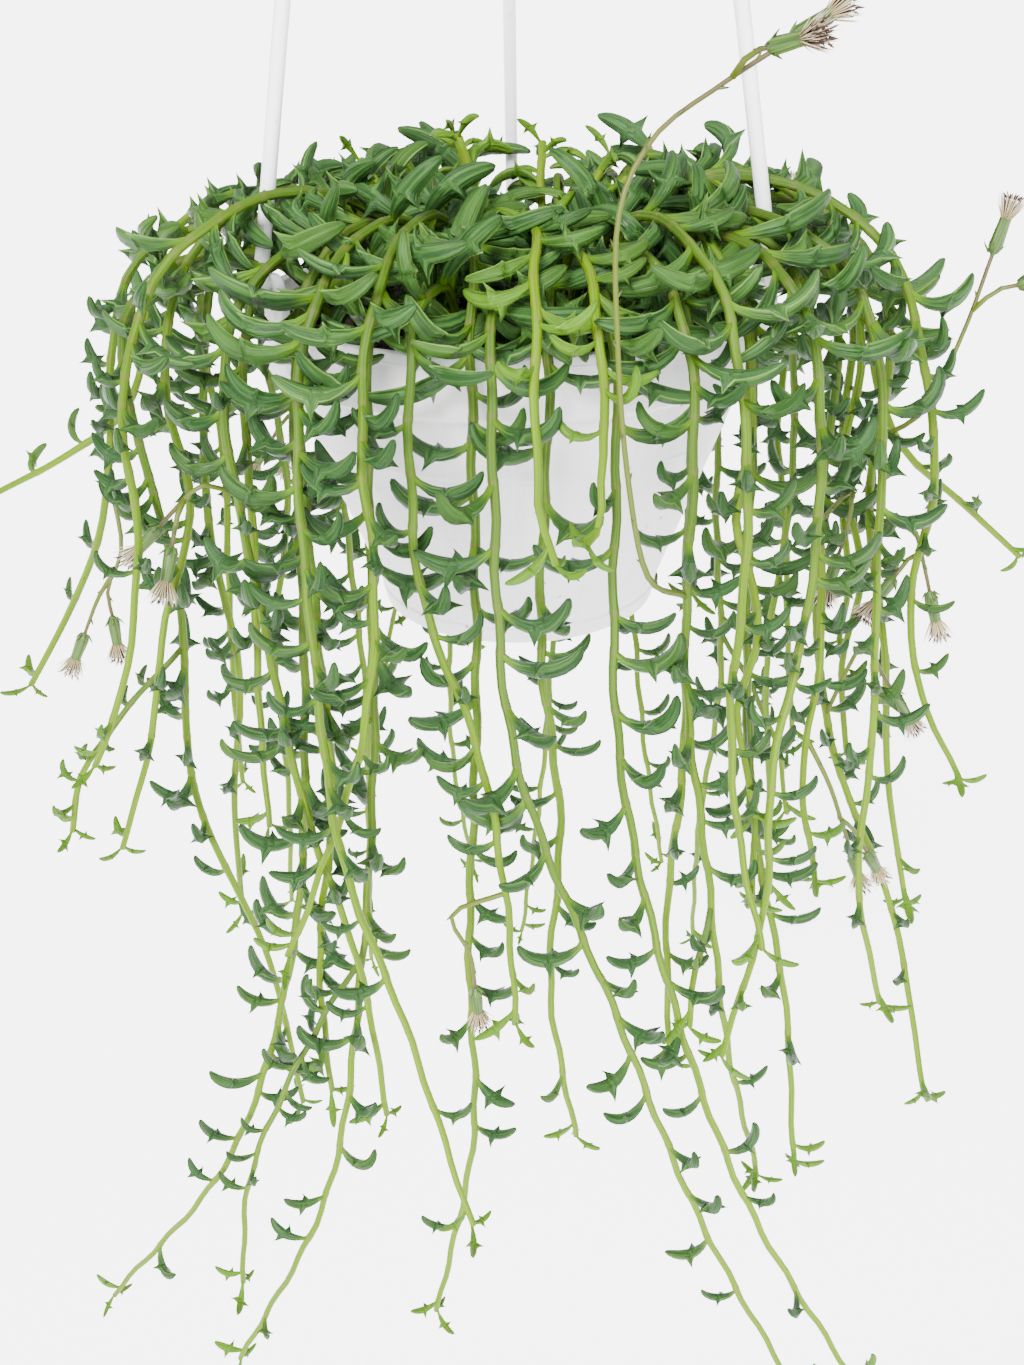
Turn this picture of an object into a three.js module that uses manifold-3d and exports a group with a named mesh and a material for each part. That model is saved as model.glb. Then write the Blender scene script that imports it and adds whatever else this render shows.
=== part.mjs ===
// A hanging pot of string of dolphins (a trailing succulent), in millimetres, +Z up.
// The plant, pot and soil are laid out from the centre of the pot's rim plane, and the
// whole model is then lowered so that the origin is the hook's hanging point.

import * as THREE from 'three';
import { mergeVertices } from 'three/addons/utils/BufferGeometryUtils.js';
import Module from 'manifold-3d';

const wasm = await Module();
wasm.setup();

// Driving dimensions

const RIM_RADIUS = 80;
const POT_HEIGHT = 100;
const BASE_RADIUS = 45;
const WALL = 2;
const COLLAR_HEIGHT = 18;
const COLLAR_FOOT_RADIUS = 78;
const COLLAR_STEP = 2;
const COLLAR_BORE = 76;
const LIP_BEVEL = 1;
const LIP_WIDTH = 2.4;
const SHOULDER_RADIUS = 74;
const FOOT_HEIGHT = 6;
const FOOT_DRAFT = 1;
const POT_SIDES = 32;
const HANG_HEIGHT = 450;
const GAP = 0.3;

const SOIL_TOP = -8;
const ROOT_DEPTH = 7;
const SPROUT_HEIGHT = 5;
const HOLE_ROOM = 1.75;

const ROD_RADIUS = 2.1;
const HOOK_RADIUS = 2.6;
const HOOK_BEND = 13;
const HUB_TOP = -46;
const HUB_HEIGHT = 13;
const HUB_RADIUS = 11;
const HUB_SHOULDER = 5;
const HUB_NECK_RADIUS = 4.5;
const SOCKET_ROOF = 6;
const ARM_SPREAD = 7.4;
const ARM_AZIMUTHS = [90, 210, 330];
const PIN_HEAD_RADIUS = 3.4;
const PIN_HEAD_LENGTH = 2;

const LUG_WIDTH = 14;
const LUG_HEIGHT = 14;
const LUG_ROOT = 6;
const LUG_THICKNESS = 2.6;
const LUG_RADIUS = 78;
const LUG_HOLE_RADIUS = 2.5;
const LUG_HOLE_HEIGHT = 7.5;

const STEM_RADIUS = 1.4;
const BRANCH_RADIUS = 1.1;
const TIP_RADIUS = 0.7;
const SHOOT_TIP_RADIUS = 1;
const STALK_RADIUS = 0.9;
const HEAD_LENGTH = 17;
const NODE_SPACING = 16;
const LEAF_EVERY = 3;
const LAST_NODE = 6;
const ROUTE_STEPS = 240;
const LEAF_WIDTH = 0.09;
const LEAF_THICKNESS = 0.12;
const FIN_LENGTH = 0.14;
const LEAF_LIFT = 35;
const SMALL_LEAF = 25;
const YOUNG_STRETCH = 260;
const YOUNG_SIZE = 0.6;
const CLEARANCE = 0.35;
const WANDER = 5;
const WANDER_DROP = 150;
const WANDER_SEED = 900;

// Finishes

const finish = (color, roughness) => new THREE.MeshStandardMaterial({ color, roughness, metalness: 0 });
const potPlastic = finish(0xf0f0ec, 0.45);
const hangerPlastic = finish(0xf4f4f2, 0.35);
const pottingSoil = finish(0x2c2119, 0.95);
const strandGreen = finish(0x4f8446, 0.5);
const shootGreen = finish(0x6fa04c, 0.5);

// Vectors and solids

const radians = THREE.MathUtils.degToRad;
const vec = (x, y, z) => new THREE.Vector3(x, y, z);
const outward = (azimuth) => vec(Math.cos(radians(azimuth)), Math.sin(radians(azimuth)), 0);
const sideways = (azimuth) => vec(-Math.sin(radians(azimuth)), Math.cos(radians(azimuth)), 0);

function polar(azimuth, radius, z, side = 0) {
  return outward(azimuth).multiplyScalar(radius).addScaledVector(sideways(azimuth), side).setZ(z);
}

function toSolid(geometry) {
  const bare = geometry.clone();
  bare.deleteAttribute('normal');
  bare.deleteAttribute('uv');
  const merged = mergeVertices(bare, 1e-4);
  return new wasm.Manifold(new wasm.Mesh({
    numProp: 3,
    vertProperties: new Float32Array(merged.attributes.position.array),
    triVerts: new Uint32Array(merged.index.array),
  }));
}

function toGeometry(solid) {
  const mesh = solid.getMesh();
  const geometry = new THREE.BufferGeometry();
  geometry.setAttribute('position', new THREE.BufferAttribute(mesh.vertProperties, 3));
  geometry.setIndex(new THREE.BufferAttribute(mesh.triVerts, 1));
  geometry.computeVertexNormals();
  return geometry;
}

const join = (solids) => solids.reduce((whole, piece) => whole.add(piece));

// A closed skin over a row of rings with the same number of points. A ring of one
// point closes an end, and the rings turn anticlockwise about the way they advance.
function loft(rings) {
  const positions = rings.flat().flatMap((p) => [p.x, p.y, p.z]);
  const index = [];
  let start = 0;
  for (let r = 0; r + 1 < rings.length; r += 1) {
    const count = rings[r].length;
    const nextCount = rings[r + 1].length;
    const next = start + count;
    const sides = Math.max(count, nextCount);
    for (let i = 0; i < sides; i += 1) {
      const j = (i + 1) % sides;
      if (count > 1) index.push(start + i, start + j, next + (nextCount > 1 ? j : 0));
      if (nextCount > 1) index.push(start + (count > 1 ? i : 0), next + j, next + i);
    }
    start = next;
  }
  const geometry = new THREE.BufferGeometry();
  geometry.setAttribute('position', new THREE.Float32BufferAttribute(positions, 3));
  geometry.setIndex(index);
  return geometry;
}

function rodBetween(from, to, radius, sides = 8) {
  const geometry = new THREE.CylinderGeometry(radius, radius, from.distanceTo(to), sides);
  const middle = from.clone().lerp(to, 0.5);
  const turn = new THREE.Quaternion().setFromUnitVectors(vec(0, 1, 0), to.clone().sub(from).normalize());
  geometry.applyQuaternion(turn).translate(middle.x, middle.y, middle.z);
  return toSolid(geometry);
}

// Pot: one moulding with a collar below the rim, a tapered bowl and three lugs for the hanger

function bowlRadius(z) {
  const depth = (-z - COLLAR_HEIGHT) / (POT_HEIGHT - COLLAR_HEIGHT - FOOT_HEIGHT);
  return THREE.MathUtils.lerp(SHOULDER_RADIUS, BASE_RADIUS + FOOT_DRAFT, THREE.MathUtils.clamp(depth, 0, 1));
}

function lug(azimuth) {
  const round = LUG_WIDTH / 2;
  const face = new THREE.Shape();
  face.moveTo(-round, -LUG_ROOT);
  face.lineTo(round, -LUG_ROOT);
  face.lineTo(round, LUG_HEIGHT - round);
  face.absarc(0, LUG_HEIGHT - round, round, 0, Math.PI, false);
  face.lineTo(-round, -LUG_ROOT);
  const hole = new THREE.Path();
  hole.absarc(0, LUG_HOLE_HEIGHT, LUG_HOLE_RADIUS, 0, Math.PI * 2, true);
  face.holes.push(hole);
  const plate = { depth: LUG_THICKNESS, bevelEnabled: false, curveSegments: 4 };
  const geometry = new THREE.ExtrudeGeometry(face, plate);
  geometry.translate(0, 0, -LUG_THICKNESS / 2);
  geometry.rotateX(Math.PI / 2);
  geometry.rotateZ(radians(azimuth - 90));
  const place = polar(azimuth, LUG_RADIUS, 0);
  return toSolid(geometry.translate(place.x, place.y, 0));
}

// The inside of the collar and the bowl, from the top down
const innerWall = () => [
  [COLLAR_BORE, -COLLAR_HEIGHT + COLLAR_STEP / 2],
  [bowlRadius(-COLLAR_HEIGHT - COLLAR_STEP) - WALL, -COLLAR_HEIGHT - COLLAR_STEP],
  [BASE_RADIUS - WALL / 2, -POT_HEIGHT + WALL],
];

const turned = (points, sides) => (
  new THREE.LatheGeometry(points.map(([r, z]) => new THREE.Vector2(r, z)), sides).rotateX(Math.PI / 2)
);

function pot() {
  const profile = [
    [0, -POT_HEIGHT],
    [BASE_RADIUS, -POT_HEIGHT],
    [BASE_RADIUS + FOOT_DRAFT, -POT_HEIGHT + FOOT_HEIGHT],
    [bowlRadius(-COLLAR_HEIGHT - COLLAR_STEP), -COLLAR_HEIGHT - COLLAR_STEP],
    [COLLAR_FOOT_RADIUS, -COLLAR_HEIGHT],
    [RIM_RADIUS, -LIP_BEVEL],
    [RIM_RADIUS - LIP_BEVEL, 0],
    [RIM_RADIUS - LIP_BEVEL - LIP_WIDTH, 0],
    ...innerWall(),
    [0, -POT_HEIGHT + WALL],
  ];
  const body = toSolid(turned(profile, POT_SIDES));
  return join([body, ...ARM_AZIMUTHS.map(lug)]);
}

// Hanger: a hook with a hub below it, and three rods that plug into the hub

const armTop = (azimuth) => polar(azimuth, ARM_SPREAD, HANG_HEIGHT + HUB_TOP - SOCKET_ROOF);
const ARM_LEAN = (LUG_HEIGHT - LUG_HOLE_HEIGHT) * RIM_RADIUS / (HANG_HEIGHT + HUB_TOP);
const ARM_FOOT_RADIUS = LUG_RADIUS + LUG_THICKNESS / 2 + GAP + ROD_RADIUS + ARM_LEAN;
const armFoot = (azimuth) => polar(azimuth, ARM_FOOT_RADIUS, LUG_HOLE_HEIGHT);

// The wire rises from the hub, leans aside and bends round into a hook whose mouth is open
// below its tip. The origin is where it hangs, at the top of the inside of the bend.
function hook() {
  const centre = -HOOK_BEND;
  const middle = HOOK_BEND + HOOK_RADIUS;
  const sunk = HUB_NECK_RADIUS;
  const route = new THREE.CatmullRomCurve3([
    vec(0, 0, HUB_TOP - sunk),
    vec(0, 0, HUB_TOP + sunk),
    vec(middle * 0.35, 0, centre - middle * 1.25),
    vec(middle * 0.92, 0, centre - middle * 0.45),
    ...[0, 30, 60, 90, 120, 150, 180, 205].map((angle) => (
      vec(middle * Math.cos(radians(angle)), 0, centre + middle * Math.sin(radians(angle)))
    )),
  ]);
  const section = new THREE.Shape();
  section.absarc(0, 0, HOOK_RADIUS, 0, Math.PI * 2, false);
  const bend = new THREE.ExtrudeGeometry(section, { steps: 18, curveSegments: 4, extrudePath: route });
  const hub = turned([
    [0, HUB_TOP - HUB_HEIGHT],
    [HUB_RADIUS, HUB_TOP - HUB_HEIGHT],
    [HUB_RADIUS, HUB_TOP - HUB_SHOULDER],
    [HUB_NECK_RADIUS, HUB_TOP],
    [0, HUB_TOP],
  ], 16);
  const solid = toSolid(hub).add(toSolid(bend));
  const lower = vec(0, 0, -HANG_HEIGHT);
  return ARM_AZIMUTHS.reduce((body, azimuth) => {
    const top = armTop(azimuth).add(lower);
    const foot = armFoot(azimuth).add(lower);
    const along = top.clone().sub(foot).normalize();
    const socketEnd = top.clone().addScaledVector(along, GAP);
    const below = top.clone().addScaledVector(along, -2 * HUB_HEIGHT);
    return body.subtract(rodBetween(below, socketEnd, ROD_RADIUS + GAP));
  }, solid);
}

// A rod whose foot bends inward through the hole of its lug and ends in a flat head behind it
function arm(azimuth) {
  const foot = armFoot(azimuth);
  const behindLug = LUG_RADIUS - LUG_THICKNESS / 2 - GAP;
  const headStart = polar(azimuth, behindLug, LUG_HOLE_HEIGHT);
  const headEnd = polar(azimuth, behindLug - PIN_HEAD_LENGTH, LUG_HOLE_HEIGHT);
  const elbow = new THREE.SphereGeometry(ROD_RADIUS * 1.05, 6, 4).translate(foot.x, foot.y, foot.z);
  return join([
    rodBetween(foot, armTop(azimuth), ROD_RADIUS),
    toSolid(elbow),
    rodBetween(foot, headEnd, LUG_HOLE_RADIUS - 2 * GAP),
    rodBetween(headStart, headEnd, PIN_HEAD_RADIUS),
  ]);
}

// Routes: a smooth curve cut into short steps, with a frame that faces away from the pot

function measured(points, sideDirection) {
  const curve = new THREE.CatmullRomCurve3(points, false, 'catmullrom', 0.5);
  const places = Array.from({ length: ROUTE_STEPS + 1 }, (unused, i) => curve.getPoint(i / ROUTE_STEPS));
  const lengths = [0];
  for (let i = 1; i <= ROUTE_STEPS; i += 1) {
    lengths.push(lengths[i - 1] + places[i].distanceTo(places[i - 1]));
  }
  return { places, lengths, total: lengths[ROUTE_STEPS], sideDirection };
}

function placeAt(route, length) {
  const s = THREE.MathUtils.clamp(length, 0, route.total);
  let i = 1;
  while (i < route.lengths.length - 1 && route.lengths[i] < s) i += 1;
  const t = (s - route.lengths[i - 1]) / (route.lengths[i] - route.lengths[i - 1]);
  const point = route.places[i - 1].clone().lerp(route.places[i], t);
  const ahead = route.places[i].clone().sub(route.places[i - 1]).normalize();
  const side = route.sideDirection.clone();
  side.addScaledVector(ahead, -side.dot(ahead)).normalize();
  const out = ahead.clone().cross(side);
  return { point, ahead, side, out };
}

// A tapered stem with square sections at the given lengths along its route
function stem(route, stations, firstRadius, lastRadius) {
  const rings = stations.map((s) => {
    const { point, side, out } = placeAt(route, s);
    const radius = firstRadius + (lastRadius - firstRadius) * (s / route.total);
    return [side, out, side.clone().negate(), out.clone().negate()].map((d) => (
      point.clone().addScaledVector(d, radius)
    ));
  });
  return toSolid(loft([
    [placeAt(route, stations[0]).point],
    ...rings,
    [placeAt(route, stations[stations.length - 1]).point],
  ]));
}

// Leaf: a thick crescent that leaves the stem in the way it grows and turns up and back,
// with a keel on its outer side and one fin on each edge, a little apart, like a dolphin's

const LEAF_STATIONS = [
  { u: 0.3, width: 0.85, fins: [0, 0] },
  { u: 0.5, width: 1.05, fins: [1, 0] },
  { u: 0.62, width: 1, fins: [0, 1] },
  { u: 0.76, width: 0.82, fins: [0, 0] },
];

function leafPoint(leaf, u) {
  const angle = leaf.lift + leaf.turn * u;
  const radius = leaf.length / leaf.turn;
  return leaf.base.clone()
    .addScaledVector(leaf.ahead, radius * (Math.sin(angle) - Math.sin(leaf.lift)))
    .addScaledVector(leaf.away, radius * (Math.cos(leaf.lift) - Math.cos(angle)));
}

function leafInward(leaf, u) {
  const angle = leaf.lift + leaf.turn * u;
  return leaf.ahead.clone().multiplyScalar(-Math.sin(angle)).addScaledVector(leaf.away, Math.cos(angle));
}

// A small leaf leaves out the last station
function leafSolid(leaf) {
  const stations = leaf.length < SMALL_LEAF ? LEAF_STATIONS.slice(0, -1) : LEAF_STATIONS;
  const rings = stations.map(({ u, width, fins }) => {
    const inward = leafInward(leaf, u);
    const middle = leafPoint(leaf, u).addScaledVector(inward, 0.25 * LEAF_THICKNESS * leaf.length * width);
    const half = LEAF_WIDTH * leaf.length * width;
    const fin = FIN_LENGTH * leaf.length;
    return [
      middle.clone().addScaledVector(leaf.across, half + fin * fins[0]),
      middle.clone().addScaledVector(inward, -LEAF_THICKNESS * leaf.length * width),
      middle.clone().addScaledVector(leaf.across, -half - fin * fins[1]),
    ];
  });
  return toSolid(loft([[leafPoint(leaf, 0)], ...rings, [leafPoint(leaf, 1)]]));
}

// Balls that cover a leaf, for keeping it clear of the rest
function leafBalls(leaf) {
  const thick = LEAF_THICKNESS * leaf.length;
  const balls = [0.22, 0.36, 0.5, 0.64, 0.78].map((u) => ({ at: leafPoint(leaf, u), r: thick * 0.72 }));
  balls.push({ at: leafPoint(leaf, 0.92), r: thick * 0.4 }, { at: leafPoint(leaf, 1), r: thick * 0.15 });
  for (const [u, way] of [[0.5, 1], [0.62, -1]]) {
    for (const reach of [0.5, 1]) {
      const out = (LEAF_WIDTH + FIN_LENGTH * reach) * leaf.length * way;
      balls.push({ at: leafPoint(leaf, u).addScaledVector(leaf.across, out), r: reach < 1 ? 2.2 : 0.9 });
    }
  }
  return balls;
}

// What leaves keep clear of: the pot, the soil, the hanger, other stems and other leaves

function clearOfPot({ at, r }) {
  const radius = Math.hypot(at.x, at.y);
  const space = r + CLEARANCE;
  if (at.z > space || radius > RIM_RADIUS + space) return true;
  if (radius < COLLAR_BORE - space) return at.z > SOIL_TOP + space;
  return (at.z < -COLLAR_HEIGHT - space && radius > bowlRadius(at.z) + space) || at.z < -POT_HEIGHT - space;
}

// Balls down the lowest quarter of each rod, which is as high as leaves reach, and in each lug
function hangerBalls() {
  const balls = [];
  const steps = 50;
  for (const azimuth of ARM_AZIMUTHS) {
    const foot = armFoot(azimuth);
    const highest = foot.clone().lerp(armTop(azimuth), 0.25);
    for (let i = 0; i <= steps; i += 1) {
      balls.push({ at: foot.clone().lerp(highest, i / steps), r: ROD_RADIUS + 0.2 });
    }
    for (const side of [-0.3, 0, 0.3]) {
      for (const height of [0.2, 0.7]) {
        const at = polar(azimuth, LUG_RADIUS, height * LUG_HEIGHT, side * LUG_WIDTH);
        balls.push({ at, r: 0.3 * LUG_WIDTH });
      }
    }
  }
  return balls;
}

const obstacles = hangerBalls();

const apart = (a, b) => a.at.distanceToSquared(b.at) > (a.r + b.r + CLEARANCE) ** 2;

function isClear(balls, owner) {
  return balls.every((ball) => (
    clearOfPot(ball) && obstacles.every((other) => other.owner === owner || apart(ball, other))
  ));
}

// A seeded generator, so that the leaves stand the same way each time
function seeded(seed) {
  let state = (seed * 2654435761 + 12345) % 4294967296;
  return () => {
    state = (Math.imul(state, 1664525) + 1013904223) >>> 0;
    return state / 4294967296;
  };
}

// One leaf at node k of a stem. It is turned about the stem, then shortened, until it is clear.
const TURNS = [0, 25, -25, 50, -50, 75, -75];
const SHRINKS = [1, 0.85];

// The least and the spread of a leaf's length, its swing about the stem and how far it curls,
// for large upright leaves over the pot and for leaves on the hanging stems
const MOUND_LEAF = { length: [23, 10], swing: [45, 95], curl: [60, 70] };
const HANGING_LEAF = { length: [19, 8], swing: [30, 75], curl: [100, 60] };

function growLeaf(route, owner, k, draws, reach) {
  const s = k * NODE_SPACING;
  const { point, ahead, side, out } = placeAt(route, s);
  const kind = point.z > 0 ? MOUND_LEAF : HANGING_LEAF;
  const [fullLength, swing, curl] = ['length', 'swing', 'curl'].map((value, i) => (
    kind[value][0] + kind[value][1] * draws[i]
  ));
  const grown = THREE.MathUtils.clamp((route.total - s) / YOUNG_STRETCH, 0, 1);
  const length = fullLength * THREE.MathUtils.lerp(YOUNG_SIZE, 1, grown) * reach;
  const way = k % 2 === 0 ? 1 : -1;
  for (const shrink of SHRINKS) {
    for (const step of TURNS) {
      const angle = radians(way * swing + step);
      const away = out.clone().multiplyScalar(Math.cos(angle)).addScaledVector(side, Math.sin(angle));
      const leaf = {
        base: point,
        ahead,
        away,
        across: ahead.clone().cross(away),
        length: length * shrink,
        lift: radians(LEAF_LIFT),
        turn: radians(curl),
      };
      const balls = leafBalls(leaf);
      if (isClear(balls, owner)) {
        obstacles.push(...balls.map((ball) => ({ ...ball, owner: null })));
        return leaf;
      }
    }
  }
  return null;
}

function guardStem(route, owner, radius) {
  for (let s = 0; s <= route.total; s += 3) {
    obstacles.push({ at: placeAt(route, s).point, r: radius, owner });
  }
}

// Strands: each rises from the soil, arches over the rim and hangs. azimuth is where it
// crosses the rim, root its radius in the soil and turn how far round it is rooted from
// there, crest its height over the rim, over how far out it hangs, drop how far down it
// reaches, flare and drift how far its end swings outward and sideways, and late how
// near its end it swings. On the way down it also wanders a little from side to side.

const STRANDS = [
  {
    azimuth: 186, root: 46, turn: -6, crest: 22, over: 44, drop: 128, flare: 44, drift: 0, late: 3,
    stalks: [
      { at: 0.65, points: [[-127, -22, -74], [-133, -24, -88], [-133, -24, -98]], fork: [-143, -24, -104] },
    ],
  },
  { azimuth: 177, root: 30, turn: 8, crest: 30, over: 38, drop: 72, flare: 66, drift: -8, late: 2 },
  {
    azimuth: 199, root: 58, turn: 0, crest: 18, over: 40, drop: 300, flare: -30, drift: 10, late: 1.5,
    branches: [{ at: 0.5, offset: [44, 4, -58] }],
  },
  { azimuth: 193, root: 40, turn: 6, crest: 26, over: 16, drop: 225, flare: 14, drift: -6, late: 2 },
  {
    azimuth: 220, root: 56, turn: -4, crest: 21, over: 18, drop: 158, flare: 2, drift: -10, late: 1.5,
    stalks: [
      { at: 0.52, points: [[-88, -66, -38], [-96, -66, -44], [-102, -66, -50]], fork: [-98, -72, -54] },
    ],
  },
  { azimuth: 229, root: 36, turn: 4, crest: 28, over: 12, drop: 368, flare: 64, drift: -76, late: 3.4 },
  { azimuth: 236, root: 58, turn: 2, crest: 18, over: 22, drop: 250, flare: 6, drift: -10, late: 2 },
  {
    azimuth: 245, root: 44, turn: -3, crest: 22, over: 13, drop: 382, flare: 34, drift: -62, late: 3,
    branches: [{ at: 0.58, offset: [24, -48, -150] }],
  },
  {
    azimuth: 254, root: 58, turn: 2, crest: 17, over: 21, drop: 200, flare: 2, drift: 30, late: 1.5,
    stalks: [{ at: 0.82, points: [[-22, -104, -160], [-17, -103, -176], [-16, -102, -190]] }],
  },
  { azimuth: 262, root: 34, turn: -6, crest: 25, over: 8, drop: 350, flare: 4, drift: -22, late: 3 },
  { azimuth: 266, root: 58, turn: 0, crest: 15, over: 19, drop: 385, flare: 14, drift: 108, late: 1.8 },
  { azimuth: 272, root: 30, turn: 10, crest: 29, over: 30, drop: 44, flare: 2, drift: 4, late: 2 },
  { azimuth: 275, root: 56, turn: 4, crest: 16, over: 7, drop: 270, flare: 2, drift: 8, late: 2 },
  { azimuth: 281, root: 42, turn: 4, crest: 25, over: 29, drop: 40, flare: 2, drift: -4, late: 2 },
  { azimuth: 285, root: 58, turn: 3, crest: 15, over: 16, drop: 376, flare: 44, drift: 86, late: 2.6 },
  {
    azimuth: 294, root: 40, turn: 2, crest: 24, over: 28, drop: 302, flare: -4, drift: 46, late: 1.7,
    branches: [{ at: 0.66, offset: [8, -11, -38] }],
    stalks: [{
      at: 0.4,
      points: [
        [32, -112, -48], [26, -114, -20], [23, -113, 12], [23, -109, 40],
        [31, -104, 56], [46, -99, 66], [62, -95, 75],
      ],
      fork: [55, -106, 74],
    }],
  },
  { azimuth: 301, root: 58, turn: 2, crest: 16, over: 10, drop: 230, flare: 8, drift: -8, late: 2 },
  { azimuth: 307, root: 34, turn: 6, crest: 29, over: 22, drop: 140, flare: 6, drift: 6, late: 2 },
  {
    azimuth: 314, root: 58, turn: 0, crest: 19, over: 12, drop: 288, flare: 34, drift: 10, late: 2,
    branches: [{ at: 0.5, offset: [16, -12, -62] }],
  },
  {
    azimuth: 321, root: 44, turn: 0, crest: 26, over: 25, drop: 176, flare: 8, drift: 4, late: 2,
    stalks: [
      { at: 0.8, points: [[95, -70, -138], [101, -68, -154], [106, -66, -168]], fork: [112, -62, -170] },
    ],
  },
  {
    azimuth: 339, root: 58, turn: 0, crest: 20, over: 20, drop: 264, flare: 60, drift: -18, late: 2.4,
    stalks: [
      { at: 0.4, points: [[98, -48, -50], [97, -52, -60], [95, -53, -68]] },
      { at: 0.58, points: [[106, -50, -100], [112, -51, -108], [117, -52, -116]] },
    ],
  },
  {
    azimuth: 346, root: 38, turn: 0, crest: 28, over: 34, drop: 206, flare: 24, drift: -6, late: 2,
    stalks: [
      { at: 0.48, points: [[121, -34, -30], [130, -32, -8], [136, -30, 14]], fork: [143, -34, 6] },
      { at: 0.56, points: [[119, -42, -64], [123, -45, -74], [126, -46, -84]], fork: [114, -48, -78] },
    ],
  },
  { azimuth: 354, root: 56, turn: 0, crest: 22, over: 24, drop: 122, flare: 10, drift: 4, late: 2 },
  { azimuth: 3, root: 36, turn: 4, crest: 30, over: 32, drop: 100, flare: 68, drift: 6, late: 2 },
  { azimuth: 13, root: 56, turn: 0, crest: 21, over: 13, drop: 262, flare: 22, drift: 12, late: 2.5 },
  { azimuth: 25, root: 40, turn: 0, crest: 28, over: 25, drop: 188, flare: 10, drift: -8, late: 2 },
  {
    azimuth: 37, root: 56, turn: 2, crest: 21, over: 12, drop: 330, flare: 34, drift: 30, late: 2.6,
    branches: [{ at: 0.55, offset: [18, -26, -80] }],
    stalks: [{ at: 0.3, points: [[84, 66, -30], [92, 76, -20], [98, 84, 4]] }],
  },
  { azimuth: 50, root: 38, turn: 0, crest: 31, over: 24, drop: 150, flare: 12, drift: 6, late: 2 },
  { azimuth: 64, root: 56, turn: 0, crest: 24, over: 12, drop: 284, flare: 20, drift: -18, late: 2.4 },
  { azimuth: 79, root: 58, turn: -4, crest: 22, over: 12, drop: 342, flare: 24, drift: 26, late: 2.6 },
  { azimuth: 101, root: 44, turn: 4, crest: 30, over: 22, drop: 172, flare: 8, drift: -6, late: 2 },
  {
    azimuth: 112, root: 58, turn: 2, crest: 24, over: 12, drop: 304, flare: 26, drift: -22, late: 2.4,
    branches: [{ at: 0.5, offset: [26, 18, -70] }],
  },
  { azimuth: 124, root: 38, turn: 0, crest: 31, over: 25, drop: 222, flare: 12, drift: 8, late: 2 },
  {
    azimuth: 136, root: 56, turn: 0, crest: 22, over: 12, drop: 352, flare: 36, drift: -30, late: 2.8,
    stalks: [{ at: 0.4, points: [[-78, 78, -58], [-84, 84, -66], [-88, 88, -78]], fork: [-94, 80, -74] }],
  },
  { azimuth: 158, root: 56, turn: 0, crest: 21, over: 13, drop: 272, flare: 22, drift: -12, late: 2.4 },
  { azimuth: 168, root: 42, turn: 0, crest: 28, over: 25, drop: 198, flare: 12, drift: -10, late: 2 },
  { azimuth: 204, root: 30, turn: 4, crest: 34, over: 30, drop: 168, flare: 30, drift: -6, late: 2 },
  { azimuth: 225, root: 46, turn: 2, crest: 25, over: 30, drop: 246, flare: -8, drift: 40, late: 1.6 },
  { azimuth: 240, root: 30, turn: 6, crest: 31, over: 32, drop: 262, flare: 10, drift: 46, late: 2 },
  { azimuth: 249, root: 24, turn: 0, crest: 32, over: 30, drop: 180, flare: 6, drift: -34, late: 2 },
  { azimuth: 299, root: 30, turn: 4, crest: 31, over: 36, drop: 176, flare: 10, drift: 8, late: 2 },
  { azimuth: 310, root: 46, turn: 5, crest: 26, over: 40, drop: 216, flare: 4, drift: -20, late: 1.8 },
  { azimuth: 325, root: 32, turn: 0, crest: 29, over: 40, drop: 226, flare: 24, drift: 6, late: 2 },
  { azimuth: 343, root: 28, turn: -12, crest: 36, over: 26, drop: 158, flare: 10, drift: 14, late: 2 },
  { azimuth: 216, root: 24, turn: 4, crest: 36, over: 50, drop: 120, flare: 22, drift: -8, late: 2 },
  { azimuth: 335, root: 22, turn: -10, crest: 36, over: 46, drop: 150, flare: 20, drift: 20, late: 2 },
];

// How far below the rim a strand is when it has come over it and hangs
const HANG_START = 14;

function strandRoute(strand) {
  const { azimuth, root, turn, crest, over, drop, flare, drift, late } = strand;
  const rooted = (z) => polar(azimuth + turn, root, z);
  const rim = RIM_RADIUS + over;
  const onWay = (t, z) => rooted(0).lerp(polar(azimuth, rim, 0), t).setZ(z);
  const points = [
    rooted(SOIL_TOP - ROOT_DEPTH),
    rooted(SOIL_TOP + SPROUT_HEIGHT),
    onWay(0.25, crest * 0.8),
    onWay(0.55, crest),
    onWay(0.86, crest * 0.55),
    polar(azimuth, rim, -HANG_START),
  ];
  const draw = seeded(WANDER_SEED + azimuth);
  const reach = WANDER * Math.min(1, drop / WANDER_DROP);
  const wander = () => reach * (2 * draw() - 1);
  for (const t of [0.25, 0.5, 0.75, 1]) {
    const z = THREE.MathUtils.lerp(-HANG_START, -drop, t);
    points.push(polar(azimuth, rim + flare * t ** 2 + wander(), z, drift * t ** late + wander()));
  }
  return measured(points, sideways(azimuth));
}

// A branch leaves its strand sideways and then droops. offset is how far outward, sideways
// and down its tip lies from where it leaves, at the given share of the strand's length.
function branchRoute(route, azimuth, { at, offset }) {
  const { point } = placeAt(route, NODE_SPACING * Math.round(at * route.total / NODE_SPACING));
  const [out, side, up] = offset;
  const points = [0, 0.3, 0.65, 1].map((t) => (
    point.clone()
      .addScaledVector(outward(azimuth), out * Math.sin(t * Math.PI / 2))
      .addScaledVector(sideways(azimuth), side * Math.sin(t * Math.PI / 2))
      .add(vec(0, 0, up * t))
  ));
  return measured(points, sideways(azimuth));
}

// A flower stalk starts on its strand and passes through the given points, and a second
// one may fork from it near its end. Each ends in a seed head: a ribbed green cup with a
// flared tuft.
const stalkSteps = (route) => Math.max(3, Math.round(route.total / NODE_SPACING));

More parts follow.
